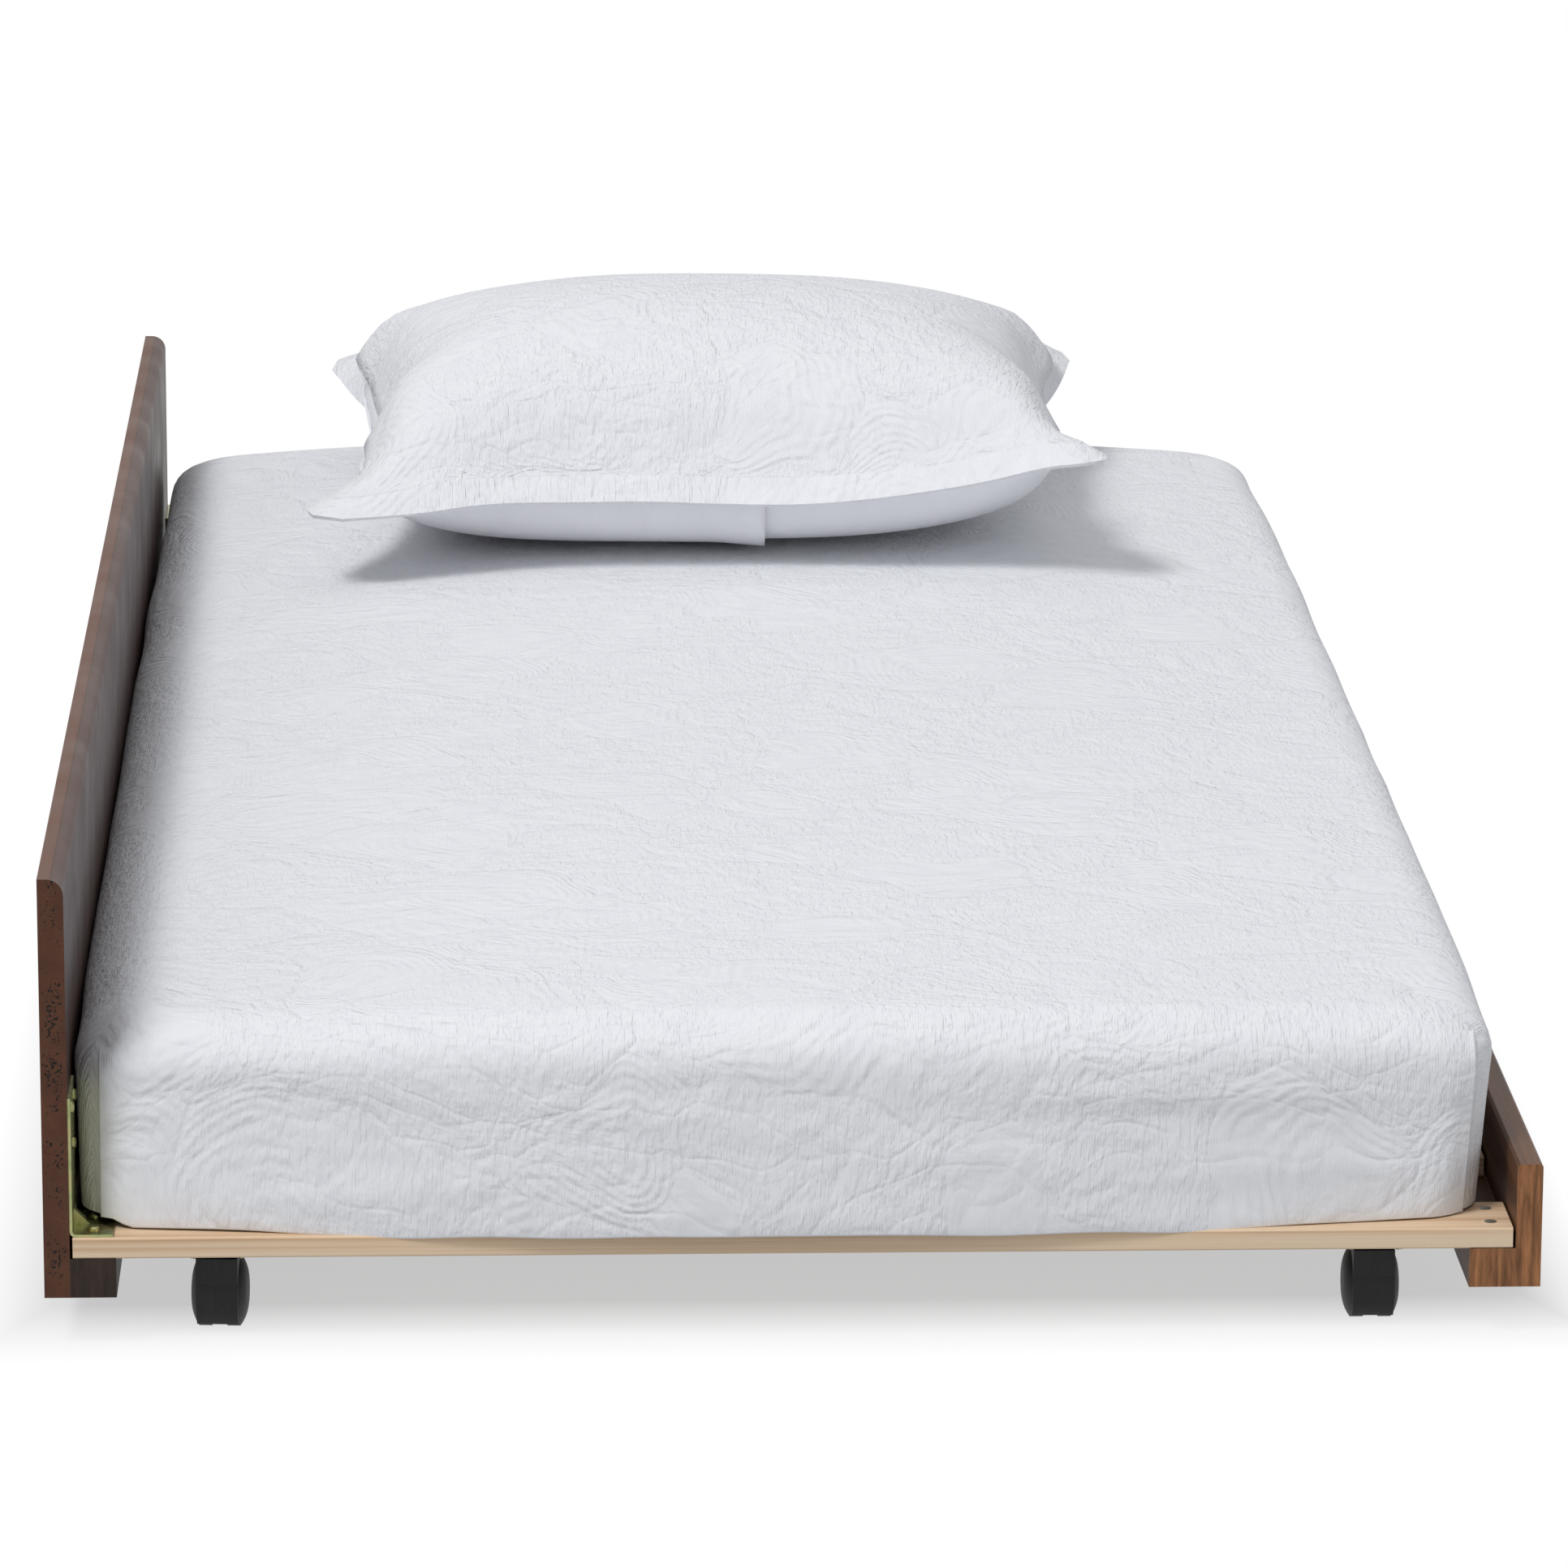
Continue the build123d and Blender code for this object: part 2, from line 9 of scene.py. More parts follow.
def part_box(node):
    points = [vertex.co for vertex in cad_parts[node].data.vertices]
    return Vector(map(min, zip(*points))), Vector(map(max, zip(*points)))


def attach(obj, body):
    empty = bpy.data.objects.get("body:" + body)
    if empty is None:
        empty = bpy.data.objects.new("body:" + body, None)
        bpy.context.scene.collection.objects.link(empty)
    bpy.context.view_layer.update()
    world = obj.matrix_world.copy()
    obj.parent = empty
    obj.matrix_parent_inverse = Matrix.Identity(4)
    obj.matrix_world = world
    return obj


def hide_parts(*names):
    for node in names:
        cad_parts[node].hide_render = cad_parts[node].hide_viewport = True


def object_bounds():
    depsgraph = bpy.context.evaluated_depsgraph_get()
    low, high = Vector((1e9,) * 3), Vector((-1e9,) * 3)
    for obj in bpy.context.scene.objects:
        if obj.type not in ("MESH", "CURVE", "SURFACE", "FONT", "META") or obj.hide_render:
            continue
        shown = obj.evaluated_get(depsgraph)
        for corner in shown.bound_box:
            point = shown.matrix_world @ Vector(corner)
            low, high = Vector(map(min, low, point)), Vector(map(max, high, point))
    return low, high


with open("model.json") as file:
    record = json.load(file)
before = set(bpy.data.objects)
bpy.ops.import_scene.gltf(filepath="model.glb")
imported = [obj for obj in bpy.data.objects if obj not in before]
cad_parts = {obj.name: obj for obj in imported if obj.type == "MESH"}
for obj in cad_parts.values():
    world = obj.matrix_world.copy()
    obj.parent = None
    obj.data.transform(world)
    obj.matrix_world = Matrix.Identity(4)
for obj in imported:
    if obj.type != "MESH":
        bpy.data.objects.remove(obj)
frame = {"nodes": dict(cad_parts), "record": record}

cad_low, cad_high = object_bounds()
nodes = frame["nodes"]

# Camera, solved from the straight edges of the bed, in metres and radians
CAMERA_PLACE = (-0.2151, -6.2962, 1.7691)
CAMERA_PITCH = 0.25077
CAMERA_YAW = -0.03855
CAMERA_ROLL = 0.00415
PHOTO_SIZE = 1932
FOCAL_PIXELS = 9946.4
SENSOR_WIDTH = 36.0

# Woven relief
MOTIFS_PER_METRE = 8.5
LEAVES_PER_METRE = 30.0
RING_PITCH = 0.0068
RIB_PITCH = 0.0019
MATELASSE_THREAD = 0.0011
COTTON_THREAD = 0.0008
TICKING_STRIPE = 0.024

# Coverlet; where its sides differ, -1 is the front panel's side and 1 the rear rail's
COVERLET_STEP = 0.007
COVERLET_SIDE_ROUND = 0.036
COVERLET_END_ROUND = 0.038
COVERLET_SIDE_EASE = 0.0035
COVERLET_SHIFT = -0.003
COVERLET_CORNER = 0.040
COVERLET_CROWN = 0.010
COVERLET_END_BOW = 0.036
COVERLET_SIDE_BOW = {-1: 0.001, 1: 0.005}
COVERLET_SIDE_DRAFT = {-1: 0.004, 1: 0.010}
COVERLET_FLARE = 0.008
COVERLET_WAVE = 0.003
COVERLET_SWELL = 0.0016
END_BOW_START = 0.6
HEAD_RISE = 0.017
HEAD_RISE_START = 0.2
HEAD_DRAW_IN = 0.45
HEM_LIFT = 0.0012
HEM_OVER_BRACKETS = 0.0052
HEM_RISE_START = 0.042
HEM_RISE_REACH = 0.014

# Folded layer across each end of the coverlet
FOLD_HALF_WIDTH = 0.477
FOLD_TAPER = 0.014
FOLD_START = 0.012
FOLD_THICKNESS = 0.0042
FOLD_TUCK = 0.001
FOLD_ROLL = 0.0017
FOLD_ROLL_STEPS = 6
FOLD_HANG = 0.009
FOLD_HANG_REACH = 0.20
FOLD_RIPPLE = 0.0025
FOLD_BULGE = 0.004
FOLD_CORNER_DROP = 0.006

# Mattress under the coverlet
MATTRESS_CORNER = 0.058
MATTRESS_RIM_ROUND = 0.030
MATTRESS_CUTS = 20
MATTRESS_SIDE_BOW = 0.004
MATTRESS_SIDE_DRAFT = 0.010
MATTRESS_SIDE_GAP = 0.003
MATTRESS_END_GAP = 0.002
MATTRESS_TOP_GAP = 0.003
MATTRESS_CROWN = COVERLET_CROWN + 0.002

# Pillow: its sewn cover and how it is stuffed
PILLOW_FLAT = (0.658, 0.53)
PILLOW_STEP = 0.0125
PANEL_LIFT = 0.004
PILLOW_PRESSURE = 17.0
PILLOW_FRAMES = 30
PILLOW_SEAT_DROP = 0.09
PILLOW_SEAT_REACH = 0.6
CLOTH_GAP = 0.003
SEAM_ROUNDS = 24
SEAM_CORNER_BLUNT = 0.5
PANEL_ROUNDS = 26

# Pillow: how it lies, with limits in shares of its half width and half depth
PILLOW_SQUASH = 0.85
SEAM_CALM = 0.45
SEAM_CALM_REACH = 0.07
PILLOW_FULL_ENDS = 0.32
PILLOW_WIDE_ENDS = 0.095
SEAM_WIDE_ENDS = 0.030
WIDE_ENDS_START = 0.4
WIDE_FRONT_LIMIT = 0.8
WIDE_BACK_LIMIT = 0.95
WIDE_LIMIT_FADE = 0.45

# Pillow: local moves, each with its spot, its move and its reach
PILLOW_CORNERS = [
    ((-0.31, -0.24), (-0.014, -0.004, -0.015), 0.07),
    ((0.31, -0.24), (0.0, 0.0, 0.034), 0.12),
    ((0.31, 0.24), (0.0, 0.0, 0.012), 0.09),
    ((-0.31, 0.24), (-0.004, 0.0, 0.002), 0.09),
]
PILLOW_BACK_FILL = [
    ((-0.295, 0.20), (-0.010, 0.0, 0.008), 0.05),
    ((0.295, 0.20), (0.006, 0.0, 0.004), 0.05),
]

# Flange round the sham, with its leans in radians
FLANGE_WIDTH = 0.026
FLANGE_STEPS = 4
FLANGE_THICKNESS = 0.0032
SEAM_OVERLAP = 0.004
FLANGE_LEAN_BACK = 0.55
FLANGE_LEAN_SIDE = 1.25
FLANGE_LEAN_FRONT = 0.80
FLANGE_SIDE_START = 0.82
FLANGE_SIDE_FADE = 0.35
FLANGE_CORNER_RISE = 0.30
FLANGE_CORNER_START = 0.7
FLANGE_CORNER_FADE = 0.25
FLANGE_CORNER_REACH = 0.82
FLANGE_RIPPLE = 0.0012

# Flap under the sham
FLAP_EDGE = 0.045
FLAP_LIFT = 0.0028
FLAP_LOOSE = 0.0035
FLAP_LOOSE_REACH = 0.05
FLAP_THICKNESS = 0.0016

# Past this share of a grid of size 1, a point is on the grid's rim
NEAR_RIM = 0.499

# Studio
FLOOR_REACH = 30.0
# Reach of the floor's painted shadow, where its glow is turned down, beside and beyond the bed, and how far
# under the bed it starts
FLOOR_PAINTED_SHADE_BESIDE = 0.06
FLOOR_PAINTED_SHADE_BEYOND = 0.13
FLOOR_PAINTED_SHADE_START = 0.095
WORLD_STRENGTH = 0.43


# Building blocks for materials
def new_material(name):
    material = bpy.data.materials.new(name)
    material.use_nodes = True
    return material, material.node_tree, material.node_tree.nodes["Principled BSDF"]


def wire(tree, node, inputs):
    """Sets values on a shader node's inputs, or links sockets to them."""
    for key, value in inputs.items():
        if isinstance(value, bpy.types.NodeSocket):
            tree.links.new(value, node.inputs[key])
        else:
            node.inputs[key].default_value = value


def put(tree, kind, inputs=None, **settings):
    """Adds a shader node, with its settings and its inputs."""
    made = tree.nodes.new(kind)
    for key, value in settings.items():
        setattr(made, key, value)
    wire(tree, made, inputs or {})
    return made


def calc(tree, operation, first, second=0.0, third=0.0):
    return put(tree, "ShaderNodeMath", {0: first, 1: second, 2: third}, operation=operation).outputs[0]


def blend(tree, share, first, second):
    return put(tree, "ShaderNodeMix", {0: share, 6: first, 7: second}, data_type="RGBA").outputs[2]


def split(tree, vector):
    """The X, Y and Z sockets of a vector."""
    return put(tree, "ShaderNodeSeparateXYZ", {0: vector}).outputs


def steps(tree, value, stops):
    """Colour ramp from a list of (place, colour) stops."""
    made = put(tree, "ShaderNodeValToRGB", {0: value})
    ramp = made.color_ramp
    while len(ramp.elements) < len(stops):
        ramp.elements.new(0.5)
    for element, (place, colour) in zip(ramp.elements, stops):
        element.position = place
        element.color = (*colour, 1.0)
    return made.outputs[0]


def grey(level):
    return (level, level, level)


def place_of(tree, scale=(1, 1, 1)):
    """Object coordinates in metres, stretched."""
    source = put(tree, "ShaderNodeTexCoord").outputs["Object"]
    return put(tree, "ShaderNodeMapping", {0: source, 3: scale}).outputs[0]


def cloth_place(tree, scale=(1, 1, 1)):
    """Place on the flat cloth in metres, from the piece's own cut, stretched."""
    source = put(tree, "ShaderNodeUVMap", uv_map="cut").outputs[0]
    return put(tree, "ShaderNodeMapping", {0: source, 3: scale}).outputs[0]


def cloud(tree, where, scale, detail=4.0, roughness=0.55, distortion=0.0):
    inputs = {"Vector": where, "Scale": scale, "Detail": detail, "Roughness": roughness,
              "Distortion": distortion}
    return put(tree, "ShaderNodeTexNoise", inputs).outputs[0]


def relief(tree, height, strength, depth, under=None):
    inputs = {"Height": height, "Strength": strength, "Distance": depth}
    if under:
        inputs["Normal"] = under
    return put(tree, "ShaderNodeBump", inputs).outputs[0]


def facing(tree):
    """The face's direction as separate X, Y and Z sockets."""
    return split(tree, put(tree, "ShaderNodeNewGeometry").outputs["True Normal"])


def cut_end(tree):
    """1 on the sawn ends of a board that runs along Y, 0 elsewhere."""
    return calc(tree, "GREATER_THAN", calc(tree, "ABSOLUTE", facing(tree)[1]), 0.5)


# Woods
def grain(tree, along, fineness):
    """Streaks that run along one axis, darker and lighter, from stretched clouds."""
    stretch = [fineness] * 3
    stretch["XYZ".index(along)] = fineness * 0.035
    where = place_of(tree, scale=stretch)
    broad = cloud(tree, where, 0.55, 5.0, 0.55, 0.6)
    fine = cloud(tree, where, 3.2, 3.0, 0.65)
    return calc(tree, "ADD", calc(tree, "MULTIPLY", broad, 0.7), calc(tree, "MULTIPLY", fine, 0.3))


def brown_lacquer():
    """Walnut-brown satin lacquer on a board whose cut ends show a pressed core, pitted along its middle."""
    material, tree, shader = new_material("brown_lacquer")
    low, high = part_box("front_panel")
    middle = (low.x + high.x) / 2
    where = place_of(tree)
    streaks = grain(tree, "Y", 60.0)
    colour = steps(tree, streaks, [(0.32, (0.021, 0.008, 0.006)), (0.5, (0.037, 0.016, 0.011)),
                                   (0.68, (0.056, 0.026, 0.018))])

    from_middle = calc(tree, "SUBTRACT", split(tree, where)[0], middle)
    mottle = cloud(tree, where, 45.0, 3.0)
    specks = cloud(tree, where, 520.0, 2.0)
    core = steps(tree, mottle, [(0.3, (0.072, 0.027, 0.015)), (0.7, (0.105, 0.042, 0.022))])
    crowd = steps(tree, cloud(tree, where, 26.0, 2.0), [(0.36, grey(0.0)), (0.54, grey(1.0))])
    band = steps(tree, calc(tree, "DIVIDE", calc(tree, "ABSOLUTE", from_middle), high.x - middle),
                 [(0.35, grey(1.0)), (0.95, grey(0.25))])
    level = calc(tree, "MULTIPLY_ADD", calc(tree, "MULTIPLY", crowd, band), 0.18, 0.26)
    pits = calc(tree, "MULTIPLY_ADD", calc(tree, "SUBTRACT", level, specks), 30.0, 0.5)
    pits = steps(tree, pits, [(0.0, grey(0.0)), (1.0, grey(1.0))])
    core = blend(tree, pits, core, (0.006, 0.004, 0.003, 1.0))
    on_end = cut_end(tree)
    colour = blend(tree, on_end, colour, core)

    on_top = steps(tree, facing(tree)[2], [(0.12, grey(0.0)), (0.18, grey(1.0))])
    across_edge = calc(tree, "MULTIPLY_ADD", from_middle, 60.0, 0.5)
    edge = steps(tree, across_edge, [(0.46, (0.128, 0.055, 0.031)), (0.50, (0.036, 0.018, 0.012)),
                                     (0.54, (0.092, 0.050, 0.037))])
    colour = blend(tree, calc(tree, "MULTIPLY", on_top, 0.8), colour, edge)

    gloss = steps(tree, cloud(tree, where, 14.0, 4.0), [(0.3, grey(0.38)), (0.7, grey(0.52))])
    pits = calc(tree, "MULTIPLY", pits, on_end)
    pores = calc(tree, "SUBTRACT", calc(tree, "MULTIPLY", streaks, 0.5), pits)
    wire(tree, shader, {"Base Color": colour, "Roughness": gloss, "Specular IOR Level": 0.2,
                        "Normal": relief(tree, pores, 0.25, 0.0005)})
    return material


def stained_wood(name, dark, mid, light):
    """Solid wood under a thin stain: open grain along the board, streaks and rays on the cut ends."""
    material, tree, shader = new_material(name)
    streaks = grain(tree, "Y", 75.0)
    along = steps(tree, streaks, [(0.34, dark), (0.5, mid), (0.66, light)])
    where = place_of(tree, scale=(1.0, 1.0, 0.10))
    rays = cloud(tree, where, 260.0, 4.0, 0.62, 0.3)
    patches = cloud(tree, where, 38.0, 2.0)
    pale = [tuple(share * level for level in light) for share in (0.9, 1.9, 3.0)]
    ends = steps(tree, rays, [(0.34, pale[0]), (0.52, pale[1]), (0.68, pale[2])])
    ends = blend(tree, calc(tree, "MULTIPLY", patches, 0.40), ends, (*dark, 1.0))
    on_end = cut_end(tree)
    height = blend(tree, on_end, streaks, rays)
    wire(tree, shader, {"Base Color": blend(tree, on_end, along, ends), "Roughness": 0.5,
                        "Specular IOR Level": 0.25, "Normal": relief(tree, height, 0.35, 0.0006)})
    return material


def pine():
    """Planed pine with growth lines along each slat and a few darker late-wood streaks."""
    material, tree, shader = new_material("pine")
    bend = cloud(tree, place_of(tree, scale=(0.9, 30.0, 90.0)), 1.0, 4.0, 0.6, 0.7)
    fine = cloud(tree, place_of(tree, scale=(3.0, 160.0, 420.0)), 1.0, 3.0, 0.6)
    mixed = calc(tree, "ADD", calc(tree, "MULTIPLY", bend, 0.72), calc(tree, "MULTIPLY", fine, 0.28))
    colour = steps(tree, mixed, [(0.30, (0.42, 0.235, 0.125)), (0.42, (0.62, 0.42, 0.255)),
                                 (0.55, (0.74, 0.56, 0.385)), (0.75, (0.83, 0.68, 0.51))])
    wire(tree, shader, {"Base Color": colour, "Roughness": 0.62,
                        "Normal": relief(tree, mixed, 0.2, 0.0004)})
    return material


# Metals and plastics
def plated_steel(name, tones, rough, metallic=1.0):
    """Plated steel with the drifting tint of a passivated zinc coat."""
    material, tree, shader = new_material(name)
    where = place_of(tree)
    drift = cloud(tree, where, 55.0, 3.0, 0.5, 0.8)
    colour = steps(tree, drift, [(0.3, tones[0]), (0.5, tones[1]), (0.7, tones[2])])
    dulled = cloud(tree, where, 240.0, 2.0)
    dulled = steps(tree, dulled, [(0.3, grey(rough - 0.06)), (0.7, grey(rough + 0.08))])
    wire(tree, shader, {"Base Color": colour, "Metallic": metallic, "Roughness": dulled})
    return material


def moulded_plastic(name, colour, rough):
    """Moulded plastic with a fine spark-eroded texture and faint scuffs."""
    material, tree, shader = new_material(name)
    scuffs = cloud(tree, place_of(tree, scale=(1, 1, 0.3)), 90.0, 5.0, 0.7)
    lighter = tuple(1.9 * level + 0.006 for level in colour)
    texture = cloud(tree, place_of(tree), 1400.0, 2.0)
    wire(tree, shader, {"Base Color": steps(tree, scuffs, [(0.45, colour), (0.80, lighter)]),
                        "Roughness": rough, "Specular IOR Level": 0.3,
                        "Normal": relief(tree, texture, 0.25, 0.0002)})
    return material


# Fabrics
def ripple_along(tree, place, pitch):
    """A sine wave of this pitch along one axis."""
    return calc(tree, "SINE", calc(tree, "MULTIPLY", place, math.tau / pitch))


def weave(tree, where, pitch):
    """Over-and-under thread height of a plain weave."""
    part = split(tree, where)
    return calc(tree, "MULTIPLY", ripple_along(tree, part[0], pitch), ripple_along(tree, part[1], pitch))


def matelasse(name, depth):
    """White matelassé: curved motifs with sewn outlines, ringed or pricked inside, with fine ribs, and
    painted shade between its raised puffs.
    """
    material, tree, shader = new_material(name)
    where = cloth_place(tree)
    drift = put(tree, "ShaderNodeTexNoise", {"Vector": where, "Scale": 7.0, "Detail": 1.5}).outputs["Color"]
    bend = put(tree, "ShaderNodeVectorMath", {0: drift, 1: (0.13, 0.13, 0.0)}, operation="MULTIPLY")
    bent = put(tree, "ShaderNodeVectorMath", {0: where, 1: bend.outputs[0]}, operation="ADD").outputs[0]

    plan = {"Vector": bent, "Scale": MOTIFS_PER_METRE, "Randomness": 0.95}
    motif = put(tree, "ShaderNodeTexVoronoi", plan, feature="F1").outputs
    outline = put(tree, "ShaderNodeTexVoronoi", plan, feature="DISTANCE_TO_EDGE").outputs["Distance"]
    seam = steps(tree, outline, [(0.0, grey(0.0)), (0.04, grey(0.75)), (0.10, grey(1.0))])
    kind = put(tree, "ShaderNodeSeparateColor", {0: motif["Color"]}).outputs[0]
    rings = ripple_along(tree, motif["Distance"], RING_PITCH * MOTIFS_PER_METRE)
    ringed = steps(tree, kind, [(0.35, grey(0.10)), (0.45, grey(1.0))])
    bars = cloud(tree, cloth_place(tree, scale=(230.0, 75.0, 1.0)), 1.0, 2.0, 0.6)
    bars = steps(tree, bars, [(0.38, grey(0.0)), (0.62, grey(1.0))])
    pricked = steps(tree, kind, [(0.50, grey(1.0)), (0.62, grey(0.15))])

    small = {"Vector": put(tree, "ShaderNodeMapping", {0: bent, 3: (0.75, 1.25, 1.0)}).outputs[0],
             "Scale": LEAVES_PER_METRE, "Randomness": 1.0}
    leaves = put(tree, "ShaderNodeTexVoronoi", small, feature="DISTANCE_TO_EDGE").outputs["Distance"]
    leaves = steps(tree, leaves, [(0.0, grey(0.0)), (0.10, grey(0.8)), (0.25, grey(1.0))])
    puffs = cloud(tree, bent, 42.0, 3.0, 0.6)
    ribs = ripple_along(tree, split(tree, where)[0], RIB_PITCH)

    height = calc(tree, "MULTIPLY", calc(tree, "MULTIPLY", rings, ringed), 0.095)
    height = calc(tree, "MULTIPLY_ADD", calc(tree, "MULTIPLY", bars, pricked), 0.26, height)
    for layer, share in ((seam, 0.32), (leaves, 0.26), (puffs, 1.5), (ribs, 0.022)):
        height = calc(tree, "MULTIPLY_ADD", layer, share, height)
    drawn_flat = steps(tree, facing(tree)[2], [(0.1, grey(0.78)), (0.7, grey(1.0))])
    pattern = relief(tree, height, drawn_flat, depth)
    threads = relief(tree, weave(tree, where, MATELASSE_THREAD), 0.3, 0.00012, pattern)
    # Tone follows the puff relief: painted shade between the puffs and a painted highlight on their raised
    # tops
    tone_with_painted_light = steps(tree, puffs, [(0.3, (0.780, 0.788, 0.822)), (0.7, (0.815, 0.822, 0.850))])
    wire(tree, shader, {"Base Color": tone_with_painted_light, "Roughness": 0.85, "Sheen Weight": 0.12, "Sheen Roughness": 0.5,
                        "Specular IOR Level": 0.25, "Normal": threads})
    return material


def plain_cotton():
    """White plain-weave cotton with soft creases, painted darker in their hollows as painted crease shade;
    its white, higher than the coverlet's, is partly the cloth's own and partly painted bounce light on the
    pillow's shaded underside.
    """
    material, tree, shader = new_material("plain_cotton")
    creases = cloud(tree, cloth_place(tree, scale=(1.0, 0.4, 1.0)), 26.0, 4.0, 0.55, 0.6)
    creased = relief(tree, creases, 0.5, 0.004)
    threads = relief(tree, weave(tree, cloth_place(tree), COTTON_THREAD), 0.3, 0.0001, creased)
    # Tone follows the crease relief: painted shade in the crease hollows, on a white raised as painted
    # bounce light for the shaded underside
    tone_with_painted_light = steps(tree, creases, [(0.3, (0.885, 0.888, 0.930)), (0.7, (0.915, 0.918, 0.955))])
    wire(tree, shader, {"Base Color": tone_with_painted_light, "Roughness": 0.85, "Specular IOR Level": 0.25,
                        "Normal": threads})
    return material


def ticking():
    """Pale woven mattress ticking with a quiet stripe across its length."""
    material, tree, shader = new_material("ticking")
    where = place_of(tree)
    band = calc(tree, "MULTIPLY_ADD", ripple_along(tree, split(tree, where)[1], TICKING_STRIPE), 0.5, 0.5)
    colour = steps(tree, band, [(0.86, (0.74, 0.75, 0.73)), (0.94, (0.55, 0.60, 0.58))])
    dents = calc(tree, "ADD", cloud(tree, where, 60.0, 3.0), cloud(tree, where, 900.0, 1.0))
    wire(tree, shader, {"Base Color": colour, "Roughness": 0.9, "Normal": relief(tree, dents, 0.4, 0.0012)})
    return material


MATERIALS = {
    "brown_lacquer": brown_lacquer(),
    "dark_stained_wood": stained_wood("dark_stained_wood", (0.007, 0.004, 0.003), (0.013, 0.008, 0.006),
                                      (0.016, 0.009, 0.006)),
    "stained_hardwood": stained_wood("stained_hardwood", (0.040, 0.017, 0.009), (0.085, 0.036, 0.016),
                                     (0.165, 0.072, 0.030)),
    "pine": pine(),
    "dark_steel": plated_steel("dark_steel",
                               [(0.09, 0.085, 0.07), (0.16, 0.15, 0.11), (0.24, 0.22, 0.15)], 0.38),
    "yellow_zinc": plated_steel("yellow_zinc",
                                [(0.27, 0.31, 0.14), (0.38, 0.39, 0.19), (0.44, 0.36, 0.17)], 0.30),
    "black_steel": plated_steel("black_steel", [grey(0.015), grey(0.02), grey(0.03)], 0.45, metallic=0.6),
    "bright_steel": plated_steel("bright_steel",
                                 [(0.50, 0.50, 0.52), (0.58, 0.58, 0.60), (0.64, 0.64, 0.65)], 0.3),
    "white_nylon": moulded_plastic("white_nylon", (0.62, 0.62, 0.59), 0.5),
    "black_plastic": moulded_plastic("black_plastic", (0.0050, 0.0048, 0.0052), 0.5),
    "mattress_ticking": ticking(),
    "white_matelasse": matelasse("white_matelasse", depth=0.0021),
    "sham_matelasse": matelasse("sham_matelasse", depth=0.0025),
    "white_cotton": plain_cotton(),
}


def finish_cad_nodes():
    slots = {part["node"]: part["material_slot"] for part in frame["record"]["subparts"]}
    for name, piece in nodes.items():
        piece.data.materials.clear()
        piece.data.materials.append(MATERIALS[slots[name]])


# Building blocks for pieces
def link_object(name, shape):
    """Puts a finished bmesh into the scene as an object."""
    mesh = bpy.data.meshes.new(name)
    shape.to_mesh(mesh)
    shape.free()
    thing = bpy.data.objects.new(name, mesh)
    bpy.context.scene.collection.objects.link(thing)
    return thing


def make_piece(name, shape, slot, materials=None):
    """A smooth-shaded piece of the bedding, which rides the bed."""
    piece = link_object(name, shape)
    for polygon in piece.data.polygons:
        polygon.use_smooth = True
    for material in materials or [MATERIALS[slot]]:
        piece.data.materials.append(material)
    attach(piece, "bed")
    return piece


def only(kind, geometry):
    return [piece for piece in geometry if isinstance(piece, kind)]


def keep_cut(faces, flat, place):
    """Keeps where each corner of these faces lies on the flat cloth, as their map."""
    for face in faces:
        for loop in face.loops:
            loop[flat].uv = place(loop.vert.co)


def clamp(value):
    return min(1.0, max(0.0, value))


def ease(value):
    """Smooth step from 0 to 1."""
    value = clamp(value)
    return value * value * (3.0 - 2.0 * value)


def round_off(share):
    """How far a quarter round of radius 1 has fallen at this share of the way across it."""
    return 1 - math.sqrt(1 - share ** 2)


def near_end(share):
    """0 along the middle of the bed, rising to 1 at its ends."""
    return ease((abs(share) - END_BOW_START) / (1 - END_BOW_START))


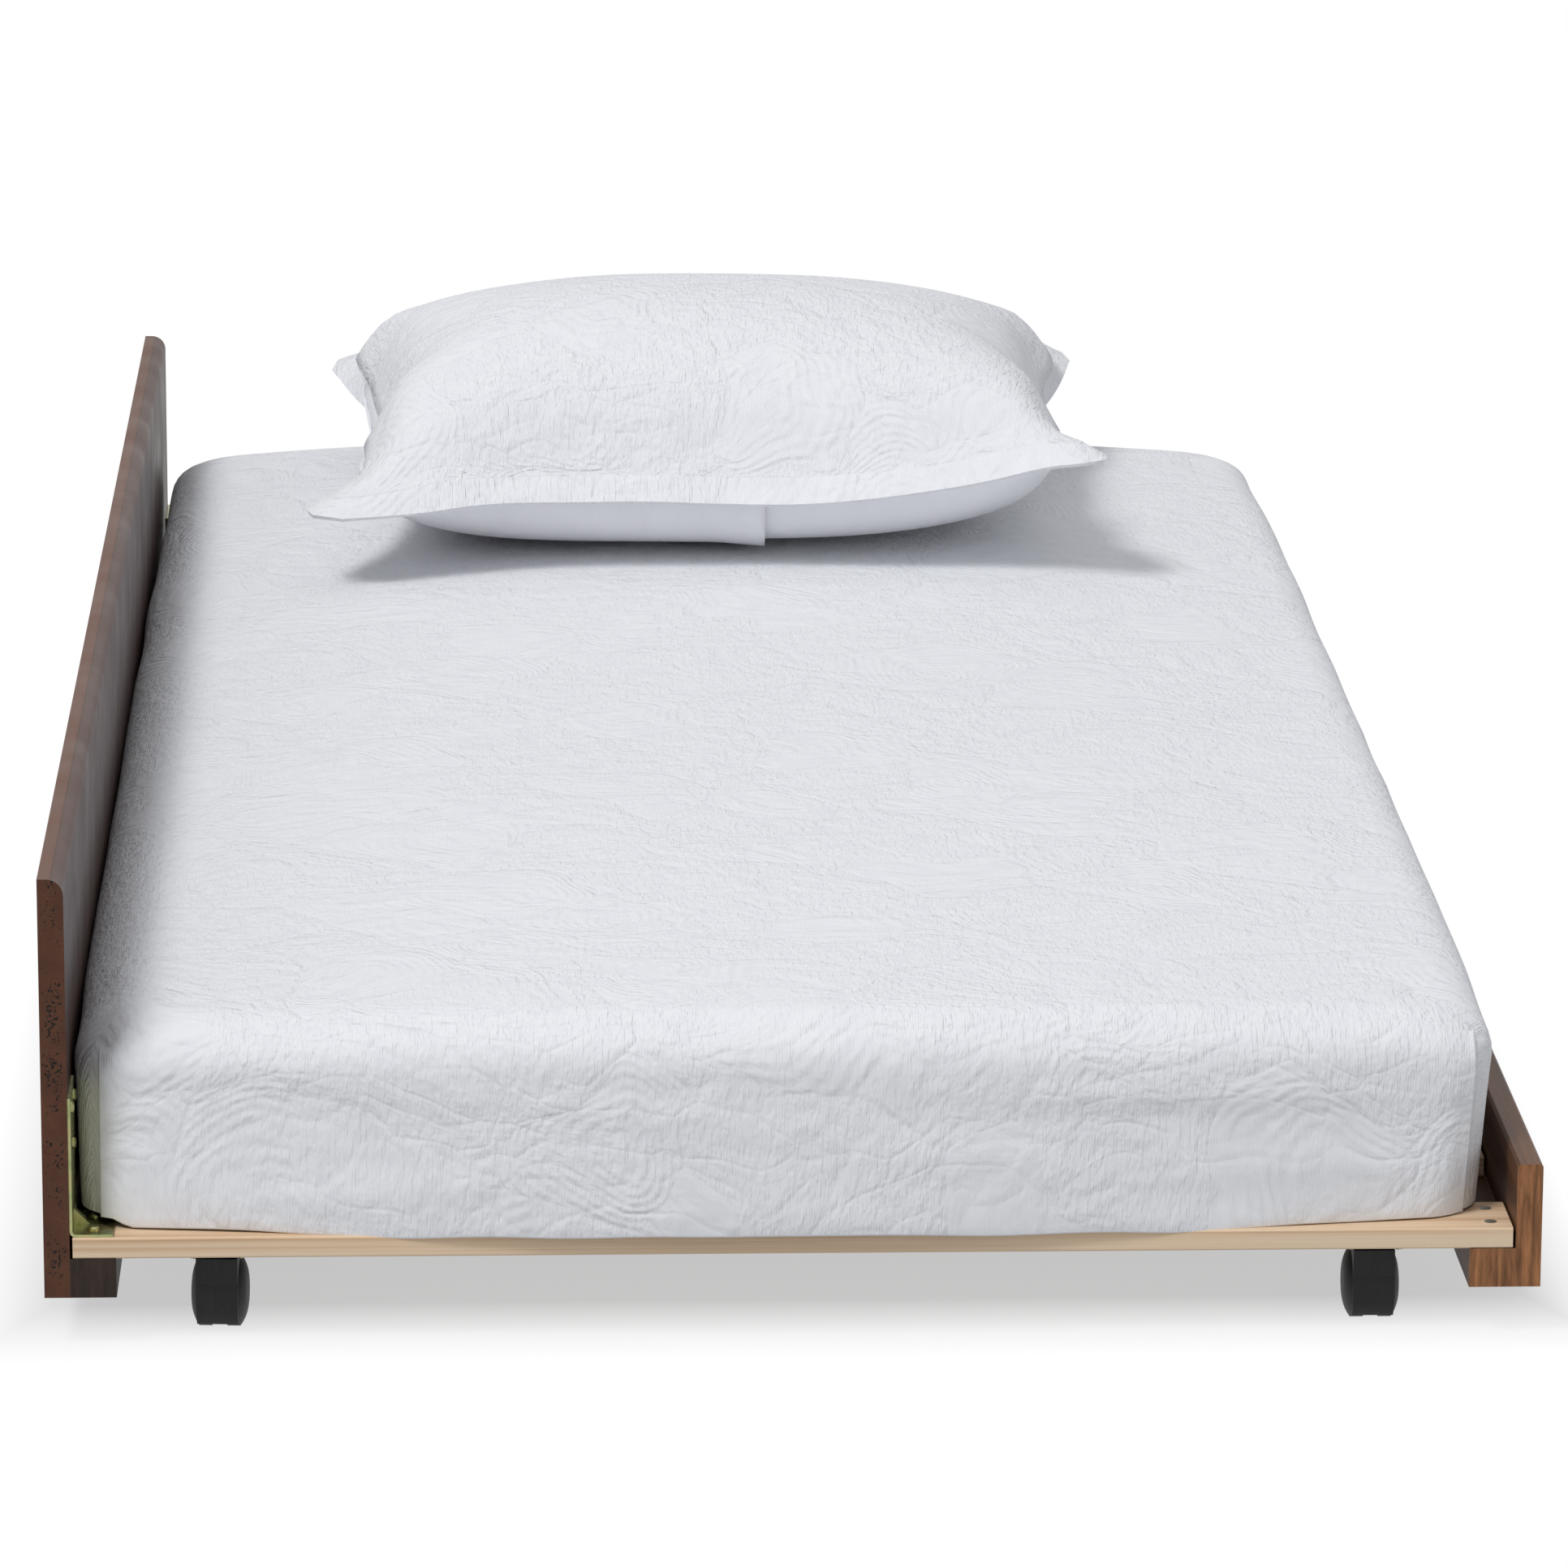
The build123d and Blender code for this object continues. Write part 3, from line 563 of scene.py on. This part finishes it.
# Coverlet
class CoverletCut:
    """The coverlet as it lies over the mattress: its flat top, its rounded edges and its drop."""

    def __init__(self):
        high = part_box("coverlet")[1]
        self.top = high.z
        self.half_width = high.x + COVERLET_SIDE_EASE
        self.half_length = high.y - FOLD_THICKNESS
        self.flat_x = self.half_width - COVERLET_SIDE_ROUND
        self.flat_y = self.half_length - COVERLET_END_ROUND
        self.height = self.top - COVERLET_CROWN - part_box("slat_01")[1].z - HEM_LIFT
        self.reach_x = self.reach(COVERLET_SIDE_ROUND)
        self.reach_y = self.reach(COVERLET_END_ROUND)
        self.size = (2 * (self.flat_x + self.reach_x), 2 * (self.flat_y + self.reach_y))

    def reach(self, radius):
        """Cloth from the edge of the flat top, round the edge and down to the hem."""
        return radius * math.pi / 2 + self.height - radius

    def over_edge(self, share, radius):
        """How far out and down a point lies at this share of the reach, and its share of the drop."""
        distance = max(0.0, share) * self.reach(radius)
        angle = min(distance / radius, math.pi / 2)
        hang = max(0.0, distance - radius * math.pi / 2)
        down = radius * (1 - math.cos(angle)) + hang
        return radius * math.sin(angle), down, hang / (self.height - radius)

    def head_rise(self, y):
        """The mattress stands a little higher towards the head."""
        return HEAD_RISE * max(0.0, (y + HEAD_RISE_START) / (self.half_length + HEAD_RISE_START)) ** 2

    def hem_lift(self, x):
        """The hem rides up over the brackets and screw heads beside the front panel."""
        return HEM_OVER_BRACKETS * ease((HEM_RISE_START - x - self.half_width) / HEM_RISE_REACH)

    def place(self, cut_x, cut_y):
        """Where a point of the flat cloth lies on the bed."""
        share_x = (abs(cut_x) - self.flat_x) / self.reach_x
        share_y = (abs(cut_y) - self.flat_y) / self.reach_y
        share = max(share_x, share_y)
        radius = COVERLET_SIDE_ROUND
        radius += (COVERLET_END_ROUND - COVERLET_SIDE_ROUND) * ease(0.5 + 2.5 * (share_y - share_x))
        out, down, hang = self.over_edge(share, radius)
        side = -1 if cut_x < 0 else 1
        half_x = self.flat_x + out * COVERLET_SIDE_ROUND / radius - COVERLET_SIDE_DRAFT[side] * hang
        half_y = self.flat_y + out * COVERLET_END_ROUND / radius + COVERLET_FLARE * ease(hang)
        x, y = cut_x, cut_y
        if share_x > 0:
            x = math.copysign(self.flat_x + (half_x - self.flat_x) * share_x / share, cut_x)
        if share_y > 0:
            y = math.copysign(self.flat_y + (half_y - self.flat_y) * share_y / share, cut_y)
        corner = COVERLET_CORNER * ease(1 + share)
        over_x, over_y = abs(x) - (half_x - corner), abs(y) - (half_y - corner)
        if over_x > 0 and over_y > 0:
            reach = max(over_x, over_y)
            along = 0.5 * over_x / over_y if over_y >= over_x else 1 - 0.5 * over_y / over_x
            x = math.copysign(half_x - corner + reach * math.sin(along * math.pi / 2), x)
            y = math.copysign(half_y - corner + reach * math.cos(along * math.pi / 2), y)
        y -= math.copysign(COVERLET_END_BOW * (x / half_x) ** 2 * near_end(y / half_y), y)
        near_side = (abs(x) / half_x) ** 6
        wave = COVERLET_WAVE * noise.noise(Vector((math.copysign(3.0, x), 5.5 * y, 4.0 * down)))
        draw_in = COVERLET_SIDE_BOW[side] * (y / half_y) ** 4 + HEAD_DRAW_IN * self.head_rise(y)
        x -= math.copysign((draw_in - wave) * near_side, x)
        swell = COVERLET_SWELL * noise.noise(Vector((5.0 * cut_x, 5.0 * cut_y, 0.0)))
        z = self.top - COVERLET_CROWN * (x / half_x) ** 2 - down
        z += (1 - hang) * (swell + self.head_rise(y)) + hang * self.hem_lift(x)
        return Vector((x + COVERLET_SHIFT, y, z))

    def fold_place(self, end, across, share):
        """Where a point of an end's fold lies, from its place across and its share of the way down."""
        distance = FOLD_START + (self.reach_y - FOLD_START) * share
        out, down, hang = self.over_edge(distance / self.reach_y, COVERLET_END_ROUND)
        angle = min(distance / COVERLET_END_ROUND, math.pi / 2)
        side = -1 if across < 0 else 1
        half_x = self.flat_x + COVERLET_SIDE_ROUND * math.sin(angle) - COVERLET_SIDE_DRAFT[side] * hang
        bow = COVERLET_END_BOW * (across / half_x) ** 2
        dip = FOLD_HANG * ease((FOLD_HALF_WIDTH - abs(across)) / FOLD_HANG_REACH - 0.15)
        dip += FOLD_RIPPLE * noise.noise(Vector((11.0 * across, 2.0 * end, 0.0)))
        lift = (FOLD_THICKNESS + FOLD_TUCK) * ease(share / 0.3) - FOLD_TUCK
        bulge = FOLD_BULGE * ease(share / 0.5) * noise.noise(Vector((5.0 * across, 6.0 * share, 7.0 * end)))
        shoulder = clamp((abs(across) - self.flat_x) / COVERLET_SIDE_ROUND)
        down = max(down, COVERLET_SIDE_ROUND * round_off(shoulder) + FOLD_CORNER_DROP * shoulder)
        past = clamp((abs(across) - half_x + COVERLET_CORNER) / COVERLET_CORNER)
        down += FOLD_CORNER_DROP * past * (1 - hang)
        x = across - FOLD_TAPER * hang * max(0.0, across) + COVERLET_SHIFT
        x -= HEAD_DRAW_IN * self.head_rise(-end * self.flat_y) * (across / self.half_width) ** 5
        y = self.flat_y + out + COVERLET_FLARE * ease(hang) - bow - COVERLET_CORNER * round_off(past)
        y += (lift + max(0.0, bulge)) * math.sin(angle)
        z = self.top - COVERLET_CROWN * (across / half_x) ** 2 - down - dip * ease(2 * share - 1)
        z += hang * self.hem_lift(across) + (1 - hang) * self.head_rise(-end * y) + lift * math.cos(angle)
        return Vector((x, -end * y, z))


def make_coverlet(cut):
    """The draped cloth, mapped from its flat cut."""
    width, length = cut.size
    cloth = bmesh.new()
    bmesh.ops.create_grid(cloth, x_segments=round(width / COVERLET_STEP),
                          y_segments=round(length / COVERLET_STEP), size=0.5)
    flat = cloth.loops.layers.uv.new("cut")
    keep_cut(cloth.faces, flat, lambda spot: (spot.x * width, spot.y * length))
    for point in cloth.verts:
        point.co = cut.place(point.co.x * width, point.co.y * length)
    return make_piece("coverlet_cloth", cloth, "white_matelasse")


def roll_edges(cloth, end):
    """Turns the fold's upright edges and hem under in a half round, drawn out in steps."""
    away = cloth.verts.layers.float_vector["away"]
    ring = [edge for edge in cloth.edges
            if edge.is_boundary and any(edge.verts[0][away] * edge.verts[1][away])]
    for step in range(FOLD_ROLL_STEPS):
        before, after = (math.pi * number / FOLD_ROLL_STEPS for number in (step, step + 1))
        out = FOLD_ROLL * (math.sin(after) - math.sin(before))
        under = FOLD_ROLL * (math.cos(before) - math.cos(after))
        made = bmesh.ops.extrude_edge_only(cloth, edges=ring)["geom"]
        ring = [edge for edge in only(bmesh.types.BMEdge, made)
                if len(edge.link_faces) == 1 and any(edge.verts[0][away] * edge.verts[1][away])]
        for point in only(bmesh.types.BMVert, made):
            point.co += point[away] * out + Vector((0.0, end * under, 0.0))


def make_end_fold(cut, end):
    """The parcel fold across one end: a second layer over the drop whose upright edges are turned under."""
    depth = cut.reach_y - FOLD_START
    cloth = bmesh.new()
    bmesh.ops.create_grid(cloth, x_segments=round(2 * FOLD_HALF_WIDTH / COVERLET_STEP),
                          y_segments=round(depth / COVERLET_STEP), size=0.5)
    flat = cloth.loops.layers.uv.new("cut")
    away = cloth.verts.layers.float_vector.new("away")
    keep_cut(cloth.faces, flat, lambda spot: (
        2 * FOLD_HALF_WIDTH * spot.x, -end * (cut.flat_y + FOLD_START + depth * (0.5 - end * spot.y))))
    for point in cloth.verts:
        share = 0.5 - end * point.co.y
        beyond = math.copysign(1.0, point.co.x) if abs(point.co.x) > NEAR_RIM else 0.0
        point[away] = Vector((beyond, 0.0, -1.0 if share > 0.5 + NEAR_RIM else 0.0))
        point.co = cut.fold_place(end, 2 * FOLD_HALF_WIDTH * point.co.x, share)
    roll_edges(cloth, end)
    bmesh.ops.recalc_face_normals(cloth, faces=cloth.faces[:])
    if max(cloth.faces, key=lambda face: face.calc_area()).normal.y * end > 0:
        bmesh.ops.reverse_faces(cloth, faces=cloth.faces[:])
    return make_piece("coverlet_foot_fold" if end > 0 else "coverlet_head_fold", cloth, "white_matelasse")


# Mattress
def make_mattress(cut):
    """Foam mattress: a rounded block, bowed and crowned like the coverlet that lies on it."""
    low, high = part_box("mattress")
    size = high - low
    middle = (low + high) / 2
    pad = bmesh.new()
    bmesh.ops.create_cube(pad, size=1.0)
    bmesh.ops.scale(pad, vec=size, verts=pad.verts)
    uprights = [edge for edge in pad.edges if abs(edge.verts[0].co.z - edge.verts[1].co.z) > size.z / 2]
    bmesh.ops.bevel(pad, geom=uprights, offset=MATTRESS_CORNER, affect="EDGES", segments=8, profile=0.5,
                    material=-1)
    rims = [edge for edge in pad.edges if abs(edge.verts[0].co.z - edge.verts[1].co.z) < 1e-6]
    bmesh.ops.bevel(pad, geom=rims, offset=MATTRESS_RIM_ROUND, affect="EDGES", segments=6, profile=0.5,
                    material=-1)
    for step in range(1, MATTRESS_CUTS):
        for axis in (0, 1):
            spot, normal = Vector((0, 0, 0)), Vector((0, 0, 0))
            spot[axis], normal[axis] = size[axis] * (step / MATTRESS_CUTS - 0.5), 1.0
            whole = pad.verts[:] + pad.edges[:] + pad.faces[:]
            bmesh.ops.bisect_plane(pad, geom=whole, plane_co=spot, plane_no=normal)
    for point in pad.verts:
        x, y, z = point.co
        share_x, share_y = 2 * x / size.x, 2 * y / size.y
        rise = z / size.z + 0.5
        narrower = MATTRESS_SIDE_BOW * share_y ** 2 + MATTRESS_SIDE_DRAFT * (1 - rise) + MATTRESS_SIDE_GAP
        x -= share_x * narrower
        y -= share_y * (COVERLET_END_BOW * share_x ** 2 * near_end(share_y) + MATTRESS_END_GAP)
        z += rise * (cut.head_rise(y) - MATTRESS_CROWN * share_x ** 2 - MATTRESS_TOP_GAP)
        point.co = Vector((x, y, z)) + middle
    piece = make_piece("mattress_pad", pad, "mattress_ticking")
    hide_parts("mattress")
    return piece


# Pillow in its sham
def pillow_envelope():
    """Two flat panels sewn round their rim, with the flat cut kept as a map."""
    width, depth = PILLOW_FLAT
    bag = bmesh.new()
    flat = bag.loops.layers.uv.new("cut")
    away = bag.verts.layers.float_vector.new("away")
    for side in (1, -1):
        made = bmesh.ops.create_grid(bag, x_segments=round(width / PILLOW_STEP),
                                     y_segments=round(depth / PILLOW_STEP), size=0.5)["verts"]
        faces = list({face for point in made for face in point.link_faces})
        for point in made:
            on_rim = max(abs(point.co.x), abs(point.co.y)) > NEAR_RIM
            point[away] = Vector([math.copysign(1.0, c) if abs(c) > NEAR_RIM else 0.0 for c in point.co])
            lift = 0.0 if on_rim else side * PANEL_LIFT
            point.co = Vector((point.co.x * width, point.co.y * depth, lift))
        for face in faces:
            face.material_index = 0 if side > 0 else 1
        keep_cut(faces, flat, lambda spot: spot.xy)
        if side < 0:
            bmesh.ops.reverse_faces(bag, faces=faces)
    bmesh.ops.remove_doubles(bag, verts=bag.verts[:], dist=1e-5)
    return bag


def stuff_pillow(bag):
    """Blows the sewn envelope up like a stuffed pillow that settles on the bed."""
    slab = bmesh.new()
    bmesh.ops.create_grid(slab, x_segments=2, y_segments=2, size=PILLOW_SEAT_REACH)
    bmesh.ops.translate(slab, vec=(0, 0, -PILLOW_SEAT_DROP), verts=slab.verts)
    body = link_object("pillow_bag", bag)
    seat = link_object("pillow_seat", slab)
    seat.modifiers.new("Collision", "COLLISION")
    seat.collision.thickness_outer = CLOTH_GAP
    cloth = body.modifiers.new("Cloth", "CLOTH")
    cloth.settings.quality = 8
    cloth.settings.mass = 0.05
    cloth.settings.tension_stiffness = 15
    cloth.settings.compression_stiffness = 15
    cloth.settings.shear_stiffness = 8
    cloth.settings.bending_stiffness = 0.8
    cloth.settings.use_pressure = True
    cloth.settings.uniform_pressure_force = PILLOW_PRESSURE
    cloth.collision_settings.distance_min = CLOTH_GAP
    cloth.point_cache.frame_end = PILLOW_FRAMES
    for number in range(1, PILLOW_FRAMES + 1):
        bpy.context.scene.frame_set(number)
    graph = bpy.context.evaluated_depsgraph_get()
    shaped = bpy.data.meshes.new_from_object(body.evaluated_get(graph))
    bpy.context.scene.frame_set(1)
    for thing in (body, seat):
        bpy.data.objects.remove(thing)
    stuffed = bmesh.new()
    stuffed.from_mesh(shaped)
    bpy.data.meshes.remove(shaped)
    return stuffed


def seam_edges(bag):
    """The edges where the sham's upper panel meets its plain under panel."""
    return [edge for edge in bag.edges if len({face.material_index for face in edge.link_faces}) == 2]


def between(pair):
    return (pair[0].co + pair[1].co) / 2


def nudge(point, place, moves):
    """Adds local moves to a point, each fading with the distance of its place from the move's spot."""
    for spot, move, reach in moves:
        gap = (place - Vector(spot)).length / reach
        point.co += Vector(move) * math.exp(-gap * gap)


def smooth_pillow(bag):
    """Evens out the seam's puckers and both panels."""
    away = bag.verts.layers.float_vector["away"]
    beside = {}
    for edge in seam_edges(bag):
        edge.smooth = False
        for point in edge.verts:
            beside.setdefault(point, []).append(edge.other_vert(point))
    corners = [point for point in beside if all(point[away].xy)]
    for turn in range(SEAM_ROUNDS):
        middles = {point: between(pair) for point, pair in beside.items() if point not in corners}
        for point, middle in middles.items():
            point.co = point.co.lerp(middle, 0.5)
    for point in corners:
        point.co = point.co.lerp(between(beside[point]), SEAM_CORNER_BLUNT)
    inside = [point for point in bag.verts if point not in beside]
    for turn in range(PANEL_ROUNDS):
        bmesh.ops.smooth_vert(bag, verts=inside, factor=0.5, use_axis_x=True, use_axis_y=True,
                              use_axis_z=True)


def settle_pillow(bag):
    """Fills and widens the pillow's ends, flattens it underneath and sets its corners as they lie."""
    flat = bag.loops.layers.uv.active
    half_width = max(point.co.x for point in bag.verts)
    on_seam = {point for edge in seam_edges(bag) for point in edge.verts}
    for point in bag.verts:
        if point in on_seam:
            continue
        place = point.link_loops[0][flat].uv
        outward = clamp(abs(point.co.x) / half_width)
        from_seam = min(size / 2 - abs(spot) for size, spot in zip(PILLOW_FLAT, place))
        fuller = 1 + PILLOW_FULL_ENDS * outward ** 4
        fuller *= 1 - SEAM_CALM * (1 - ease(from_seam / SEAM_CALM_REACH))
        point.co.z *= fuller if point.co.z > 0 else PILLOW_SQUASH
        if point.co.z > 0:
            nudge(point, place, PILLOW_BACK_FILL)
    for point in bag.verts:
        outward = clamp(abs(point.co.x) / half_width)
        wider = SEAM_WIDE_ENDS if point in on_seam else PILLOW_WIDE_ENDS
        limit = WIDE_FRONT_LIMIT if point.co.y < 0 else WIDE_BACK_LIMIT
        on_side = ease((limit - 2 * abs(point.co.y) / PILLOW_FLAT[1]) / WIDE_LIMIT_FADE)
        point.co.x *= 1 + wider * on_side * ease(2 * (outward - WIDE_ENDS_START))
    for point in bag.verts:
        nudge(point, point.co.xy, PILLOW_CORNERS)


def flange_lean(spot):
    """How steeply the flange hangs: most along the sides, least at the back and the front corners."""
    forward = -2 * spot.y / PILLOW_FLAT[1]
    lean = FLANGE_LEAN_FRONT if forward > 0 else FLANGE_LEAN_BACK
    lean += (FLANGE_LEAN_SIDE - lean) * ease((FLANGE_SIDE_START - abs(forward)) / FLANGE_SIDE_FADE)
    if forward > 0:
        outward = 2 * abs(spot.x) / PILLOW_FLAT[0]
        lean -= FLANGE_CORNER_RISE * ease((outward - FLANGE_CORNER_START) / FLANGE_CORNER_FADE)
    return lean


def add_flange(bag):
    """The double border sewn round the seam: the rim drawn outwards in steps, the first one level."""
    flat = bag.loops.layers.uv.active
    away = bag.verts.layers.float_vector["away"]
    ring = only(bmesh.types.BMEdge, bmesh.ops.duplicate(bag, geom=seam_edges(bag))["geom"])
    for point in {point for edge in ring for point in edge.verts}:
        point.co -= point[away] * SEAM_OVERLAP
    border = []
    for step in range(FLANGE_STEPS + 1):
        made = bmesh.ops.extrude_edge_only(bag, edges=ring)["geom"]
        border += only(bmesh.types.BMFace, made)
        ring = [edge for edge in only(bmesh.types.BMEdge, made) if len(edge.link_faces) == 1]
        for point in {point for edge in ring for point in edge.verts}:
            stride = FLANGE_WIDTH / FLANGE_STEPS if step else SEAM_OVERLAP
            stride *= FLANGE_CORNER_REACH if all(point[away].xy) else 1.0
            lean = flange_lean(point.co) if step else 0.0
            ripple = FLANGE_RIPPLE * noise.noise(Vector((9.0 * point.co.x, 9.0 * point.co.y, 0.4 * step)))
            hang = Vector((0, 0, ripple - stride * math.sin(lean)))
            point.co += point[away] * stride * math.cos(lean) + hang
    for face in border:
        face.material_index = 0
    keep_cut(border, flat, lambda spot: spot.xy)
    bmesh.ops.recalc_face_normals(bag, faces=border)
    if sum(face.normal.z for face in border) < 0:
        bmesh.ops.reverse_faces(bag, faces=border)
    bmesh.ops.solidify(bag, geom=border, thickness=FLANGE_THICKNESS)


def add_flap(bag):
    """The envelope flap under the sham: the plain panel doubled up to a hemmed edge."""
    away = bag.verts.layers.float_vector["away"]
    under = [face for face in bag.faces
             if face.material_index == 1 and face.calc_center_median().x < FLAP_EDGE
             and not any(any(point[away]) for point in face.verts)]
    layer = only(bmesh.types.BMFace, bmesh.ops.duplicate(bag, geom=under)["geom"])
    for point in {point for face in layer for point in face.verts}:
        loose = ease((point.co.x - FLAP_EDGE + FLAP_LOOSE_REACH) / FLAP_LOOSE_REACH)
        point.co += point.normal * (FLAP_LIFT + FLAP_LOOSE * loose)
    bmesh.ops.solidify(bag, geom=layer, thickness=FLAP_THICKNESS)


def make_pillow(cut):
    """The stuffed pillow in its sham, laid on the mattress's slope at the head."""
    bag = stuff_pillow(pillow_envelope())
    smooth_pillow(bag)
    settle_pillow(bag)
    add_flange(bag)
    add_flap(bag)
    low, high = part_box("pillow_sham")
    middle = (low + high) / 2
    slope = (cut.head_rise(high.y) - cut.head_rise(low.y)) / (high.y - low.y)
    bmesh.ops.rotate(bag, cent=(0, 0, 0), matrix=Matrix.Rotation(math.atan(slope), 3, "X"), verts=bag.verts)
    seat = low.z + cut.head_rise(middle.y) - min(point.co.z for point in bag.verts)
    bmesh.ops.translate(bag, vec=(middle.x, middle.y, seat), verts=bag.verts)
    bmesh.ops.recalc_face_normals(bag, faces=bag.faces[:])
    piece = make_piece("pillow_in_sham", bag, "white_matelasse",
                       materials=[MATERIALS["sham_matelasse"], MATERIALS["white_cotton"]])
    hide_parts("pillow", "pillow_sham")
    return piece


def make_bedding():
    cut = CoverletCut()
    make_mattress(cut)
    cloth = make_coverlet(cut)
    folds = [make_end_fold(cut, end) for end in (1, -1)]
    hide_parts("coverlet")
    width, length = cut.size
    make_pillow(cut)


# Studio
def seen_directly(tree):
    """1 for what the camera sees straight, in a reflection or through something clear."""
    rays = put(tree, "ShaderNodeLightPath").outputs
    indirect = calc(tree, "MAXIMUM", rays["Is Glossy Ray"], rays["Is Transmission Ray"])
    return calc(tree, "MAXIMUM", rays["Is Camera Ray"], indirect)


def make_studio():
    """A pale floor that keeps the bed's real shadow under a painted shadow, its glow turned down near and
    under the bed, and turns white a little way from it.
    """
    floor = bmesh.new()
    bmesh.ops.create_grid(floor, x_segments=1, y_segments=1, size=FLOOR_REACH)
    piece = link_object("studio_floor", floor)
    material, tree, shader = new_material("studio_floor")
    wire(tree, shader, {"Base Color": (0.55, 0.55, 0.55, 1.0), "Roughness": 0.9, "Specular IOR Level": 0.0})
    glow = put(tree, "ShaderNodeEmission", {"Color": (1, 1, 1, 1), "Strength": 1.0})
    spot = split(tree, put(tree, "ShaderNodeTexCoord").outputs["Object"])
    beside = calc(tree, "SUBTRACT", calc(tree, "ABSOLUTE", spot[0]), cad_high.x)
    beyond = calc(tree, "SUBTRACT", calc(tree, "ABSOLUTE", spot[1]), cad_high.y)
    away = calc(tree, "MAXIMUM", calc(tree, "DIVIDE", beside, FLOOR_PAINTED_SHADE_BESIDE),
                calc(tree, "DIVIDE", calc(tree, "ADD", beyond, FLOOR_PAINTED_SHADE_START), FLOOR_PAINTED_SHADE_BEYOND))
    # Glow share of 0.54 under the bed rising to 1 away from it: a painted shadow round the bed
    share = steps(tree, away, [(0.0, grey(0.54)), (0.5, grey(0.80)), (1.0, grey(1.0))])
    share = calc(tree, "MULTIPLY", share, seen_directly(tree))
    mixed = put(tree, "ShaderNodeMixShader", {0: share, 1: shader.outputs[0], 2: glow.outputs[0]})
    wire(tree, tree.nodes["Material Output"], {0: mixed.outputs[0]})
    piece.data.materials.append(material)


def make_world():
    world = bpy.data.worlds.new("studio")
    bpy.context.scene.world = world
    world.use_nodes = True
    tree = world.node_tree
    base = tree.nodes["Background"]
    wire(tree, base, {0: (0.95, 0.97, 1.0, 1.0), 1: WORLD_STRENGTH})
    white = put(tree, "ShaderNodeBackground", {0: (1, 1, 1, 1), 1: 1.0})
    share = seen_directly(tree)
    mixed = put(tree, "ShaderNodeMixShader", {0: share, 1: base.outputs[0], 2: white.outputs[0]})
    wire(tree, tree.nodes["World Output"], {0: mixed.outputs[0]})


def softbox(name, place, target, size, power):
    """A square area light of this size in metres and power in watts, turned to its target."""
    lamp = bpy.data.lights.new(name, "AREA")
    lamp.shape = "RECTANGLE"
    lamp.size = size
    lamp.size_y = size
    lamp.energy = power
    thing = bpy.data.objects.new(name, lamp)
    thing.location = place
    thing.rotation_euler = (Vector(target) - Vector(place)).to_track_quat("-Z", "Y").to_euler()
    bpy.context.scene.collection.objects.link(thing)


def make_lights():
    softbox("key_box", place=(-4.9, -4.8, 9.6), target=(0.0, 0.3, 0.2), size=3.0, power=790)
    softbox("overhead_box", place=(0.4, 0.9, 3.6), target=(0.0, 0.4, 0.2), size=3.0, power=10)
    softbox("fill_box", place=(4.5, -3.5, 1.5), target=(0.3, -0.5, 0.2), size=2.0, power=24)


def make_camera():
    lens = bpy.data.cameras.new("camera")
    lens.sensor_width = SENSOR_WIDTH
    lens.lens = SENSOR_WIDTH * FOCAL_PIXELS / PHOTO_SIZE
    lens.clip_end = 200.0
    camera = bpy.data.objects.new("camera", lens)
    turn = (Matrix.Rotation(CAMERA_YAW, 4, "Z") @ Matrix.Rotation(math.pi / 2 - CAMERA_PITCH, 4, "X")
            @ Matrix.Rotation(CAMERA_ROLL, 4, "Z"))
    camera.matrix_world = Matrix.Translation(CAMERA_PLACE) @ turn
    bpy.context.scene.collection.objects.link(camera)
    bpy.context.scene.camera = camera


bpy.context.scene.view_settings.view_transform = "Standard"
finish_cad_nodes()
make_bedding()
make_studio()
make_world()
make_lights()
make_camera()
